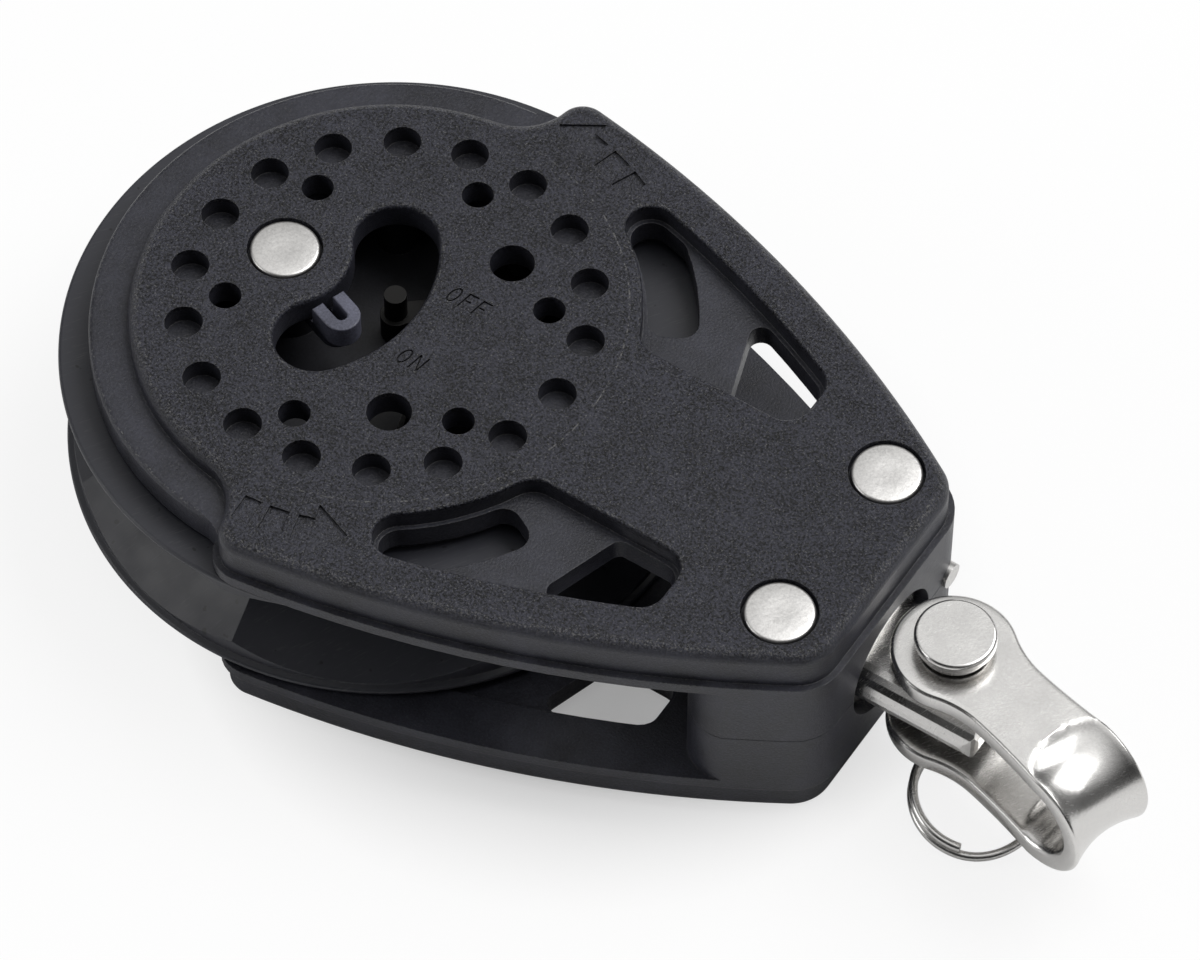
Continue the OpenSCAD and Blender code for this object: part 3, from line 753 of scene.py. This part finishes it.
RIVET_SHANK_R = 2 * MM
RIVET_HEAD = 1.2 * MM
RIVET_EASE = 0.32 * MM
PEEN_R = 1.15 * MM
PEEN_DEPTH = 0.015 * MM
PEEN_STEPS = 4
CROWN_FROM = 88
CROWN_STEPS = 5
RIVET_SIDES = 72


def rivet_bodies(places):
    """Through rivets with an eased head at each end and a faint peened dish in it."""
    bm = bmesh.new()
    for at in places:
        rim = RIVET_HEAD_R - RIVET_EASE
        shares = [k / PEEN_STEPS for k in range(PEEN_STEPS + 1)]
        half = [(PEEN_R * share, TOP - PEEN_DEPTH * (1 - share ** 2)) for share in shares]
        half += arc((rim, TOP - RIVET_EASE), RIVET_EASE, CROWN_FROM, 0, CROWN_STEPS)
        half += [(r, TOP - RIVET_HEAD) for r in (RIVET_HEAD_R, RIVET_SHANK_R)]
        profile = half + [(r, TOP - z) for r, z in reversed(half)]
        verts = [bm.verts.new((at.x + r, at.y, z)) for r, z in profile]
        edges = [bm.edges.new(pair) for pair in zip(verts, verts[1:])]
        bmesh.ops.spin(
            bm, geom=verts + edges, cent=at, axis=(0, 0, 1), angle=2 * math.pi, steps=RIVET_SIDES,
            use_merge=True)
    bmesh.ops.remove_doubles(bm, verts=bm.verts, dist=MERGE)
    bmesh.ops.recalc_face_normals(bm, faces=bm.faces)
    return bm


# Switch grip

GRIP_TURN = math.radians(-20)
GRIP_IN = 6.3 * MM
GRIP_LEN = 8.35 * MM
GRIP_HALF = 1.65 * MM
GRIP_SLOT_HALF = 0.5 * MM
GRIP_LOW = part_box("switch_lever")[1].z - 0.4 * MM
GRIP_TOP = TOP - 0.6 * MM
GRIP_EASE = 0.14 * MM
GRIP_EASE_STEPS = 3
GRIP_STEPS = 20
GRIP_SLOT_STEPS = 12


def grip_body():
    """The U on the lever that a finger moves, high in the kidney slot."""
    bm = bmesh.new()
    outline = arc((GRIP_LEN, 0), GRIP_HALF, -90, 90, GRIP_STEPS)
    outline += [(GRIP_IN, GRIP_HALF), (GRIP_IN, GRIP_SLOT_HALF)]
    outline += arc((GRIP_LEN, 0), GRIP_SLOT_HALF, 90, -90, GRIP_SLOT_STEPS)
    outline += [(GRIP_IN, -GRIP_SLOT_HALF), (GRIP_IN, -GRIP_HALF)]
    face = bm.faces.new([bm.verts.new((x, y, GRIP_LOW)) for x, y in outline])
    top = lift(bm, [face], GRIP_TOP - GRIP_LOW)
    bmesh.ops.bevel(
        bm, geom=top[0].edges[:], offset=GRIP_EASE, segments=GRIP_EASE_STEPS, profile=0.5,
        affect="EDGES", material=-1)
    bmesh.ops.recalc_face_normals(bm, faces=bm.faces)
    place = Matrix.Translation((PIVOT.x, PIVOT.y, 0)) @ Matrix.Rotation(GRIP_TURN, 4, "Z")
    bmesh.ops.transform(bm, matrix=place, verts=bm.verts)
    return bm


# Finishes


def node_of(tree, kind, **settings):
    node = tree.nodes.new(kind)
    for name, value in settings.items():
        setattr(node, name, value)
    return node


def effect_group(name, inputs, outputs):
    """An empty shader group with float inputs, and outputs of the given socket types."""
    tree = bpy.data.node_groups.new(name, "ShaderNodeTree")
    for label, default in inputs.items():
        socket = tree.interface.new_socket(label, in_out="INPUT", socket_type="NodeSocketFloat")
        socket.default_value = default
    for label, kind in outputs.items():
        tree.interface.new_socket(label, in_out="OUTPUT", socket_type=kind)
    return tree, node_of(tree, "NodeGroupInput"), node_of(tree, "NodeGroupOutput")


def noise(tree, scale, detail, roughness):
    """A noise on Object coordinates. The scale is a number or a socket."""
    coords = node_of(tree, "ShaderNodeTexCoord")
    texture = node_of(tree, "ShaderNodeTexNoise")
    texture.inputs["Detail"].default_value = detail
    texture.inputs["Roughness"].default_value = roughness
    tree.links.new(coords.outputs["Object"], texture.inputs["Vector"])
    if isinstance(scale, bpy.types.NodeSocket):
        tree.links.new(scale, texture.inputs["Scale"])
    else:
        texture.inputs["Scale"].default_value = scale
    return texture.outputs["Fac"]


def ramp(tree, value, low, high, to_low=0, to_high=1):
    """A value brought from one range to another, held at its ends."""
    span = node_of(tree, "ShaderNodeMapRange")
    tree.links.new(value, span.inputs["Value"])
    ends = {"From Min": low, "From Max": high, "To Min": to_low, "To Max": to_high}
    for label, number in ends.items():
        span.inputs[label].default_value = number
    return span.outputs["Result"]


def math_node(tree, operation, a, b=0):
    """A math node on two sockets or numbers."""
    node = node_of(tree, "ShaderNodeMath", operation=operation)
    for index, value in enumerate((a, b)):
        if isinstance(value, bpy.types.NodeSocket):
            tree.links.new(value, node.inputs[index])
        else:
            node.inputs[index].default_value = value
    return node.outputs[0]


def times(tree, a, b):
    return math_node(tree, "MULTIPLY", a, b)


def coordinate(tree, kind, axis):
    """One axis of a shader's Object, Normal or Generated coordinates."""
    coords = node_of(tree, "ShaderNodeTexCoord")
    parts = node_of(tree, "ShaderNodeSeparateXYZ")
    tree.links.new(coords.outputs[kind], parts.inputs["Vector"])
    return parts.outputs[axis]


def grain_group():
    """Fine moulded grain: a height, a fine shade, pale specks and broad mottling."""
    if "Moulded grain" in bpy.data.node_groups:
        return bpy.data.node_groups["Moulded grain"]
    floats = {label: "NodeSocketFloat" for label in ("Height", "Fine", "Specks", "Mottle")}
    tree, inside, out = effect_group(
        "Moulded grain", {"Grain Scale": 4600, "Speck Scale": 6200, "Mottle Scale": 260}, floats)
    height = noise(tree, inside.outputs["Grain Scale"], 3, 0.65)
    specks = ramp(tree, noise(tree, inside.outputs["Speck Scale"], 1, 0.4), 0.62, 0.74)
    mottle = noise(tree, inside.outputs["Mottle Scale"], 3, 0.5)
    tree.links.new(height, out.inputs["Height"])
    tree.links.new(ramp(tree, height, 0.34, 0.66), out.inputs["Fine"])
    tree.links.new(specks, out.inputs["Specks"])
    tree.links.new(mottle, out.inputs["Mottle"])
    return tree


def crevice_shade_group():
    """A mask that grows where the piece itself closes off a surface, by ambient occlusion; it
    darkens the colour there as painted shade.
    """
    if "Crevice shade" in bpy.data.node_groups:
        return bpy.data.node_groups["Crevice shade"]
    tree, inside, out = effect_group("Crevice shade", {"Reach": 2.2 * MM}, {"Closed": "NodeSocketFloat"})
    open_sky = node_of(tree, "ShaderNodeAmbientOcclusion", samples=6, only_local=True)
    tree.links.new(inside.outputs["Reach"], open_sky.inputs["Distance"])
    tree.links.new(ramp(tree, open_sky.outputs["AO"], 0.5, 0.05), out.inputs["Closed"])
    return tree


def rubbed_edge_and_highlight_group():
    """A mask of edges painted pale, partly as wear and partly as a painted highlight, broken up by
    noise, and a normal that is eased over them.
    """
    if "Rubbed edges and highlight" in bpy.data.node_groups:
        return bpy.data.node_groups["Rubbed edges and highlight"]
    tree, inside, out = effect_group(
        "Rubbed edges and highlight", {"Radius": 0.15 * MM, "Breakup Scale": 2600},
        {"Rubbed And Highlight": "NodeSocketFloat", "Normal": "NodeSocketVector"})
    bevel = node_of(tree, "ShaderNodeBevel", samples=6)
    tree.links.new(inside.outputs["Radius"], bevel.inputs["Radius"])
    geometry = node_of(tree, "ShaderNodeNewGeometry")
    dot = node_of(tree, "ShaderNodeVectorMath", operation="DOT_PRODUCT")
    tree.links.new(bevel.outputs["Normal"], dot.inputs[0])
    tree.links.new(geometry.outputs["Normal"], dot.inputs[1])
    edge = ramp(tree, dot.outputs["Value"], 0.99, 0.8)
    broken = ramp(tree, noise(tree, inside.outputs["Breakup Scale"], 2, 0.6), 0.42, 0.66)
    tree.links.new(times(tree, edge, broken), out.inputs["Rubbed And Highlight"])
    tree.links.new(bevel.outputs["Normal"], out.inputs["Normal"])
    return tree


SCRATCH_TURN = math.radians(35)
SCRATCH_STRETCH = 14


def scratch_group():
    """Fine scratches and smudges of handled metal."""
    if "Handling marks" in bpy.data.node_groups:
        return bpy.data.node_groups["Handling marks"]
    tree, inside, out = effect_group(
        "Handling marks", {"Scratch Scale": 900, "Smudge Scale": 180},
        {"Scratches": "NodeSocketFloat", "Smudges": "NodeSocketFloat"})
    coords = node_of(tree, "ShaderNodeTexCoord")
    turned = node_of(tree, "ShaderNodeMapping")
    turned.inputs["Rotation"].default_value = (0, 0, SCRATCH_TURN)
    tree.links.new(coords.outputs["Object"], turned.inputs["Vector"])
    spread = node_of(tree, "ShaderNodeVectorMath", operation="MULTIPLY")
    spread.inputs[1].default_value = (SCRATCH_STRETCH, 1, 1)
    tree.links.new(turned.outputs["Vector"], spread.inputs[0])
    lines = node_of(tree, "ShaderNodeTexNoise")
    lines.inputs["Detail"].default_value = 2
    tree.links.new(spread.outputs["Vector"], lines.inputs["Vector"])
    tree.links.new(inside.outputs["Scratch Scale"], lines.inputs["Scale"])
    tree.links.new(ramp(tree, lines.outputs["Fac"], 0.6, 0.72), out.inputs["Scratches"])
    tree.links.new(noise(tree, inside.outputs["Smudge Scale"], 3, 0.5), out.inputs["Smudges"])
    return tree


def new_material(name):
    """A material with a Principled shader and its output."""
    material = bpy.data.materials.new(name)
    material.use_nodes = True
    tree = material.node_tree
    shader = tree.nodes["Principled BSDF"]
    return material, tree, shader


def grouped(tree, group, **values):
    """A group placed in a material with its own values. Underscores stand for spaces."""
    node = node_of(tree, "ShaderNodeGroup", node_tree=group)
    for name, value in values.items():
        node.inputs[name.replace("_", " ")].default_value = value
    return node


def blend(tree, factor, first, second):
    """A colour mixed from two colours or colour sockets."""
    mix = node_of(tree, "ShaderNodeMix", data_type="RGBA")
    tree.links.new(factor, mix.inputs["Factor"])
    for label, value in (("A", first), ("B", second)):
        socket = [s for s in mix.inputs if s.name == label and s.type == "RGBA"][0]
        if isinstance(value, bpy.types.NodeSocket):
            tree.links.new(value, socket)
        else:
            socket.default_value = value
    return [s for s in mix.outputs if s.type == "RGBA"][0]


def bump(tree, height, normal, strength, distance):
    """A normal from a height, on top of another normal if there is one."""
    node = node_of(tree, "ShaderNodeBump")
    node.inputs["Strength"].default_value = strength
    node.inputs["Distance"].default_value = distance
    tree.links.new(height, node.inputs["Height"])
    if normal is not None:
        tree.links.new(normal, node.inputs["Normal"])
    return node.outputs["Normal"]


def shade(colour, factor):
    """A colour made darker or lighter."""
    return (*(min(1, c * factor) for c in colour[:3]), 1)


# Where a cheek is grained, worn and marked by its mould
GRAIN_FROM = TOP - MID - 0.6 * MM
GRAIN_FULL = TOP - MID - 0.15 * MM
GRAIN_LEAST = 0.25
WITNESS_R = SHEAVE_R - 7.75 * MM
WITNESS_HALF = 0.03 * MM
WITNESS_FADE = 0.09 * MM
WITNESS_X = 8 * MM


def rounded_wear_and_highlight_mask(tree):
    """Where a cheek's surface leans between its face and its side: the rounded edges, which get pale
    specks of wear and a painted highlight.
    """
    lean = math_node(tree, "ABSOLUTE", coordinate(tree, "Normal", "Z"))
    return times(tree, ramp(tree, lean, 0.6, 0.85), ramp(tree, lean, 0.99, 0.95))


def face_mask(tree):
    """1 on a cheek's outer face, where the mould is grained, and less on walls and recesses."""
    from_middle = math_node(tree, "SUBTRACT", coordinate(tree, "Object", "Z"), MID)
    from_middle = math_node(tree, "ABSOLUTE", from_middle)
    return ramp(tree, from_middle, GRAIN_FROM, GRAIN_FULL, GRAIN_LEAST, 1)


def witness_mask(tree):
    """A fine broken line round the axis on the right of a face, as the mould leaves it."""
    coords = node_of(tree, "ShaderNodeTexCoord")
    flat = node_of(tree, "ShaderNodeVectorMath", operation="MULTIPLY")
    flat.inputs[1].default_value = (1, 1, 0)
    tree.links.new(coords.outputs["Object"], flat.inputs[0])
    length = node_of(tree, "ShaderNodeVectorMath", operation="LENGTH")
    tree.links.new(flat.outputs["Vector"], length.inputs[0])
    off = math_node(tree, "SUBTRACT", length.outputs["Value"], WITNESS_R)
    line = ramp(tree, math_node(tree, "ABSOLUTE", off), WITNESS_FADE, WITNESS_HALF)
    line = times(tree, line, ramp(tree, coordinate(tree, "Object", "X"), 0, WITNESS_X))
    return times(tree, line, ramp(tree, noise(tree, 2600, 2, 0.6), 0.5, 0.6))


NYLON_EDGE = 0.13 * MM
NYLON_CORNER = 0.45 * MM
NYLON_CONTRAST = 1.4
# Share of the pale colour on rubbed edges, partly a painted highlight
NYLON_WEAR_AND_HIGHLIGHT = 0.75
# Share of painted shade in crevices and corners
NYLON_CREVICE_SHADE = 0.8
NYLON_GRAIN = 0.2 * MM


def nylon_material(name, colour, specks=0.8, roughness=(0.36, 0.44), grain=1, moulded_line=False):
    """Moulded nylon: fine grain, pale specks, painted shade in crevices, and edges rubbed pale,
    partly as a painted highlight.
    """
    material, tree, shader = new_material(name)
    moulded = grouped(tree, grain_group())
    edges = grouped(tree, rubbed_edge_and_highlight_group(), Radius=NYLON_EDGE, Breakup_Scale=3600)
    crevices = grouped(tree, crevice_shade_group())
    corners = grouped(tree, crevice_shade_group(), Reach=NYLON_CORNER)
    # Pale on rounded and sharp edges: partly wear, partly a painted highlight where the edges catch
    # the light
    rounded = times(tree, rounded_wear_and_highlight_mask(tree), ramp(tree, noise(tree, 5200, 2, 0.6), 0.52, 0.7))
    rubbed_and_highlit = math_node(tree, "MAXIMUM", edges.outputs["Rubbed And Highlight"], rounded)
    if moulded_line:
        rubbed_and_highlit = math_node(tree, "MAXIMUM", rubbed_and_highlit, witness_mask(tree))
    grained = face_mask(tree)
    tone = math_node(tree, "SUBTRACT", moulded.outputs["Fine"], 0.5)
    tone = times(tree, times(tree, tone, grained), NYLON_CONTRAST)
    tone = math_node(tree, "ADD", tone, moulded.outputs["Mottle"])
    base = blend(tree, tone, shade(colour, 0.1), shade(colour, 1.9))
    dotted = times(tree, times(tree, moulded.outputs["Specks"], specks), grained)
    base = blend(tree, dotted, base, shade(colours().worn, 0.8))
    base = blend(tree, times(tree, rubbed_and_highlit, NYLON_WEAR_AND_HIGHLIGHT), base, tuple(colours().worn))
    # Painted shade: the colour darkens where ambient occlusion finds crevices and corners
    closed = math_node(tree, "MAXIMUM", crevices.outputs["Closed"], corners.outputs["Closed"])
    base = blend(tree, times(tree, closed, NYLON_CREVICE_SHADE), base, shade(colour, 0.2))
    tree.links.new(base, shader.inputs["Base Color"])
    rough = ramp(tree, moulded.outputs["Mottle"], 0.3, 0.7, *roughness)
    tree.links.new(rough, shader.inputs["Roughness"])
    shader.inputs["Specular IOR Level"].default_value = 0.4
    height = times(tree, moulded.outputs["Height"], grained)
    normal = bump(tree, height, edges.outputs["Normal"], grain, NYLON_GRAIN)
    tree.links.new(normal, shader.inputs["Normal"])
    return material


def coated_material(name, colour):
    """Hard dark coat of the sheave: smooth, with fine scratches, pits and rims rubbed pale."""
    material, tree, shader = new_material(name)
    marks = grouped(tree, scratch_group(), Scratch_Scale=700, Smudge_Scale=220)
    edges = grouped(tree, rubbed_edge_and_highlight_group(), Radius=0.12 * MM, Breakup_Scale=1500)
    pits = ramp(tree, noise(tree, 1100, 1, 0.4), 0.735, 0.76)
    base = blend(tree, marks.outputs["Smudges"], shade(colour, 0.85), shade(colour, 1.15))
    for mask, share in ((marks.outputs["Scratches"], 0.12), (edges.outputs["Rubbed And Highlight"], 0.5)):
        base = blend(tree, times(tree, mask, share), base, tuple(colours().worn))
    base = blend(tree, pits, base, shade(colour, 0.25))
    tree.links.new(base, shader.inputs["Base Color"])
    rough = ramp(tree, marks.outputs["Smudges"], 0.3, 0.7, 0.36, 0.48)
    tree.links.new(rough, shader.inputs["Roughness"])
    shader.inputs["Specular IOR Level"].default_value = 0.5
    normal = bump(tree, marks.outputs["Scratches"], edges.outputs["Normal"], 0.08, 0.02 * MM)
    tree.links.new(normal, shader.inputs["Normal"])
    return material


def steel_material(name, roughness, satin, tint):
    """Steel, tumbled to a polish, left satin or blackened, with smudges and hairline scratches."""
    material, tree, shader = new_material(name)
    marks = grouped(tree, scratch_group(), Scratch_Scale=1100, Smudge_Scale=260)
    edges = grouped(tree, rubbed_edge_and_highlight_group(), Radius=0.08 * MM)
    steel = shade(colours().steel, tint)
    base = blend(tree, marks.outputs["Smudges"], shade(steel, 0.93), shade(steel, 1.05))
    grit = grouped(tree, grain_group(), Grain_Scale=5200)
    base = blend(tree, times(tree, grit.outputs["Fine"], satin), base, shade(steel, 0.6))
    tree.links.new(base, shader.inputs["Base Color"])
    shader.inputs["Metallic"].default_value = 1
    rough = ramp(tree, marks.outputs["Smudges"], 0.3, 0.7, *roughness)
    rough = math_node(tree, "ADD", rough, times(tree, marks.outputs["Scratches"], 0.06))
    tree.links.new(rough, shader.inputs["Roughness"])
    peel = bump(tree, noise(tree, 2400, 2, 0.5), edges.outputs["Normal"], satin, 0.03 * MM)
    tree.links.new(peel, shader.inputs["Normal"])
    return material


def acetal_material(name):
    """White acetal with a faint mottle."""
    material, tree, shader = new_material(name)
    moulded = grouped(tree, grain_group(), Mottle_Scale=420)
    acetal = tuple(colours().acetal)
    base = blend(tree, moulded.outputs["Mottle"], shade(acetal, 0.92), acetal)
    tree.links.new(base, shader.inputs["Base Color"])
    rough = ramp(tree, moulded.outputs["Mottle"], 0.3, 0.7, 0.26, 0.36)
    tree.links.new(rough, shader.inputs["Roughness"])
    normal = bump(tree, moulded.outputs["Height"], None, 0.05, 0.02 * MM)
    tree.links.new(normal, shader.inputs["Normal"])
    return material


def finish_of(slot):
    """The material of a slot, made when it is first asked for."""
    name = "finish_" + slot
    if name in bpy.data.materials:
        return bpy.data.materials[name]
    nylon, alloy = tuple(colours().nylon), tuple(colours().alloy)
    makers = {
        "cheek_nylon": lambda: nylon_material(name, nylon, moulded_line=True),
        # The hub's nylon is darker than the cheeks': painted shade for the hub seen at the bottom of
        # the through holes
        "hub_nylon": lambda: nylon_material(name, shade(nylon, 0.4), 0.05, (0.45, 0.55), 0.2),
        # The lever's nylon is lighter than the cheeks': painted light that lifts the grip out of the
        # shade in the kidney slot
        "lever_nylon": lambda: nylon_material(name, shade(nylon, 3.6), 0.15, (0.36, 0.46), 0.2),
        "sheave_alloy": lambda: coated_material(name, alloy),
        "rivet_steel": lambda: steel_material(name, (0.34, 0.42), 0.5, 1.1),
        "polished_steel": lambda: steel_material(name, (0.2, 0.27), 0.2, 1.06),
        "steel": lambda: steel_material(name, (0.4, 0.5), 0.1, 0.04),
        "spring_steel": lambda: steel_material(name, (0.25, 0.35), 0.06, 0.45),
        "ball_acetal": lambda: acetal_material(name),
        "washer_acetal": lambda: acetal_material(name),
    }
    return makers[slot]()


# Stage

FLOOR_MIDDLE = (0.02, 0, 0)
FLOOR_DROP = 0.02 * MM
GLOW_FROM = 0.018
GLOW_FULL = 0.036
GLOW_LEAST = 0.3
GLOW_MOST = 0.85
SENSOR_WIDTH = 36

# Name, place, width and watts of each lamp
LAMP_AIM = (0.02, 0, 0.01)
LAMPS = [("key_box", (0.45, 0.6, 1.05), 0.9, 10.5), ("left_box", (-0.8, -0.72, 0.48), 0.6, 3)]

# Light of the room by height and by depth, as (from, to, least, most)
ROOM_HEIGHT = (0.45, 1, 0.12, 1.15)
ROOM_DEPTH = (-0.55, 0, 0.08, 1)


def floor_material():
    """White floor that keeps its shadow near the block, and is white to the camera further out."""
    material, tree, shader = new_material("floor_white")
    shader.inputs["Base Color"].default_value = (0.98, 0.98, 0.98, 1)
    shader.inputs["Roughness"].default_value = 0.9
    shader.inputs["Specular IOR Level"].default_value = 0.1
    glow = node_of(tree, "ShaderNodeEmission")
    mix = node_of(tree, "ShaderNodeMixShader")
    coords = node_of(tree, "ShaderNodeTexCoord")
    away = node_of(tree, "ShaderNodeVectorMath", operation="DISTANCE")
    away.inputs[1].default_value = FLOOR_MIDDLE
    tree.links.new(coords.outputs["Object"], away.inputs[0])
    path = node_of(tree, "ShaderNodeLightPath")
    share = ramp(tree, away.outputs["Value"], GLOW_FROM, GLOW_FULL, GLOW_LEAST, GLOW_MOST)
    tree.links.new(times(tree, path.outputs["Is Camera Ray"], share), mix.inputs["Fac"])
    tree.links.new(shader.outputs["BSDF"], mix.inputs[1])
    tree.links.new(glow.outputs["Emission"], mix.inputs[2])
    tree.links.new(mix.outputs["Shader"], tree.nodes["Material Output"].inputs["Surface"])
    return material


def stand(obj, at, aim):
    """Puts a lamp or camera at a place and turns it to its aim."""
    obj.location = at
    obj.rotation_euler = (Vector(aim) - Vector(at)).to_track_quat("-Z", "Y").to_euler()


def softbox(name, at, width, power):
    """A soft square lamp that faces the block."""
    lamp = bpy.data.lights.new(name, "AREA")
    lamp.shape = "SQUARE"
    lamp.size = width
    lamp.energy = power
    stand(in_scene(name, lamp), at, LAMP_AIM)


def studio_world():
    """A pale room that is lighter overhead and darker in front, and plain white to the camera."""
    world = bpy.data.worlds.new("studio")
    world.use_nodes = True
    tree = world.node_tree
    overhead = ramp(tree, coordinate(tree, "Generated", "Z"), *ROOM_HEIGHT)
    room = times(tree, overhead, ramp(tree, coordinate(tree, "Generated", "Y"), *ROOM_DEPTH))
    path = node_of(tree, "ShaderNodeLightPath")
    light = math_node(tree, "MAXIMUM", room, path.outputs["Is Camera Ray"])
    tree.links.new(light, tree.nodes["Background"].inputs["Strength"])
    tree.nodes["Background"].inputs["Color"].default_value = (1, 1, 1, 1)
    bpy.context.scene.world = world


def build_stage():
    stage = bpy.context.scene.block_stage
    bm = bmesh.new()
    bmesh.ops.create_grid(bm, x_segments=8, y_segments=8, size=stage.floor_half)
    bmesh.ops.translate(bm, verts=bm.verts, vec=(0, 0, -FLOOR_DROP))
    mesh = mesh_from("floor", bm)
    mesh.materials.append(floor_material())
    floor = in_scene("floor", mesh)
    studio_world()
    for lamp in LAMPS:
        softbox(*lamp)
    camera = in_scene("camera", bpy.data.cameras.new("camera"))
    camera.data.sensor_fit = "HORIZONTAL"
    camera.data.sensor_width = SENSOR_WIDTH
    camera.data.lens = stage.lens
    camera.data.clip_start = 0.01
    stand(camera, stage.camera_at, stage.camera_aim)
    bpy.context.scene.camera = camera
    bpy.context.scene.view_settings.view_transform = "Standard"


# Operators


class BLOCK_OT_cheeks(bpy.types.Operator):
    """Build both cheeks with rounded edges, arrows and switch letters"""

    bl_idname = "block.cheeks"
    bl_label = "Cheeks"

    def execute(self, context):
        for node in ("upper_cheek", "lower_cheek"):
            piece(node + "_shell", cheek_shell(node), "frame", "cheek_nylon", [node])
        return {"FINISHED"}


class BLOCK_OT_sheave(bpy.types.Operator):
    """Build the sheave with its flats and beaded rims"""

    bl_idname = "block.sheave"
    bl_label = "Sheave"

    def execute(self, context):
        piece("sheave_wheel", sheave_body(), "sheave", "sheave_alloy", ["sheave"], 18)
        return {"FINISHED"}


class BLOCK_OT_shackle(bpy.types.Operator):
    """Build the shackle's bent strap and the split ring on its pin"""

    bl_idname = "block.shackle"
    bl_label = "Shackle and ring"

    def execute(self, context):
        piece("shackle_strap", shackle_body(), "shackle", "polished_steel", ["shackle"], 18)
        piece("split_ring_wire", ring_body(), "ring", "polished_steel", ["split_ring"], 40)
        return {"FINISHED"}


class BLOCK_OT_rivets(bpy.types.Operator):
    """Build the rivets that hold the cheeks and carry the lever"""

    bl_idname = "block.rivets"
    bl_label = "Rivets"

    def execute(self, context):
        pair = [HEAD_RIVET, HEAD_RIVET * Vector((1, -1, 1))]
        piece("lever_rivet", rivet_bodies([PIVOT]), "frame", "rivet_steel", ["hub_rivet"], 35)
        piece("head_rivet_pair", rivet_bodies(pair), "frame", "rivet_steel", ["head_rivets"], 35)
        return {"FINISHED"}


class BLOCK_OT_grip(bpy.types.Operator):
    """Build the grip of the switch lever"""

    bl_idname = "block.grip"
    bl_label = "Switch grip"

    def execute(self, context):
        piece("switch_grip", grip_body(), "switch", "lever_nylon")
        return {"FINISHED"}


class BLOCK_OT_finishes(bpy.types.Operator):
    """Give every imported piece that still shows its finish"""

    bl_idname = "block.finishes"
    bl_label = "Finishes"

    def execute(self, context):
        for obj in frame["nodes"].values():
            for slot in obj.material_slots:
                slot.material = finish_of(slot.material.name.split(".")[0])
        return {"FINISHED"}


class BLOCK_OT_stage(bpy.types.Operator):
    """Build the floor, the lights and the camera"""

    bl_idname = "block.stage"
    bl_label = "Stage"

    def execute(self, context):
        build_stage()
        return {"FINISHED"}


class BLOCK_PT_panel(bpy.types.Panel):
    """Lists the block's operators and settings"""

    bl_idname = "BLOCK_PT_panel"
    bl_label = "Ratchet Block"
    bl_space_type = "VIEW_3D"
    bl_region_type = "UI"
    bl_category = "Block"

    def draw(self, context):
        for operator in OPERATORS:
            self.layout.operator(operator.bl_idname)
        for group in (getattr(context.scene, key) for key in GROUPS):
            for name in group.bl_rna.properties.keys():
                if name not in ("rna_type", "name"):
                    self.layout.prop(group, name)


GROUPS = {"block_sizes": BlockSizes, "block_colours": BlockColours, "block_stage": BlockStage}
OPERATORS = [
    BLOCK_OT_stage, BLOCK_OT_cheeks, BLOCK_OT_sheave, BLOCK_OT_shackle, BLOCK_OT_rivets,
    BLOCK_OT_grip, BLOCK_OT_finishes]


def register():
    for cls in (*GROUPS.values(), *OPERATORS, BLOCK_PT_panel):
        bpy.utils.register_class(cls)
    for name, group in GROUPS.items():
        setattr(bpy.types.Scene, name, PointerProperty(type=group))


def unregister():
    for name in GROUPS:
        delattr(bpy.types.Scene, name)
    for cls in (BLOCK_PT_panel, *reversed(OPERATORS), *reversed(GROUPS.values())):
        bpy.utils.unregister_class(cls)


def main():
    register()
    bpy.ops.block.stage()
    bpy.ops.block.cheeks()
    bpy.ops.block.sheave()
    bpy.ops.block.shackle()
    bpy.ops.block.rivets()
    bpy.ops.block.grip()
    bpy.ops.block.finishes()


if __name__ == "__main__":
    main()
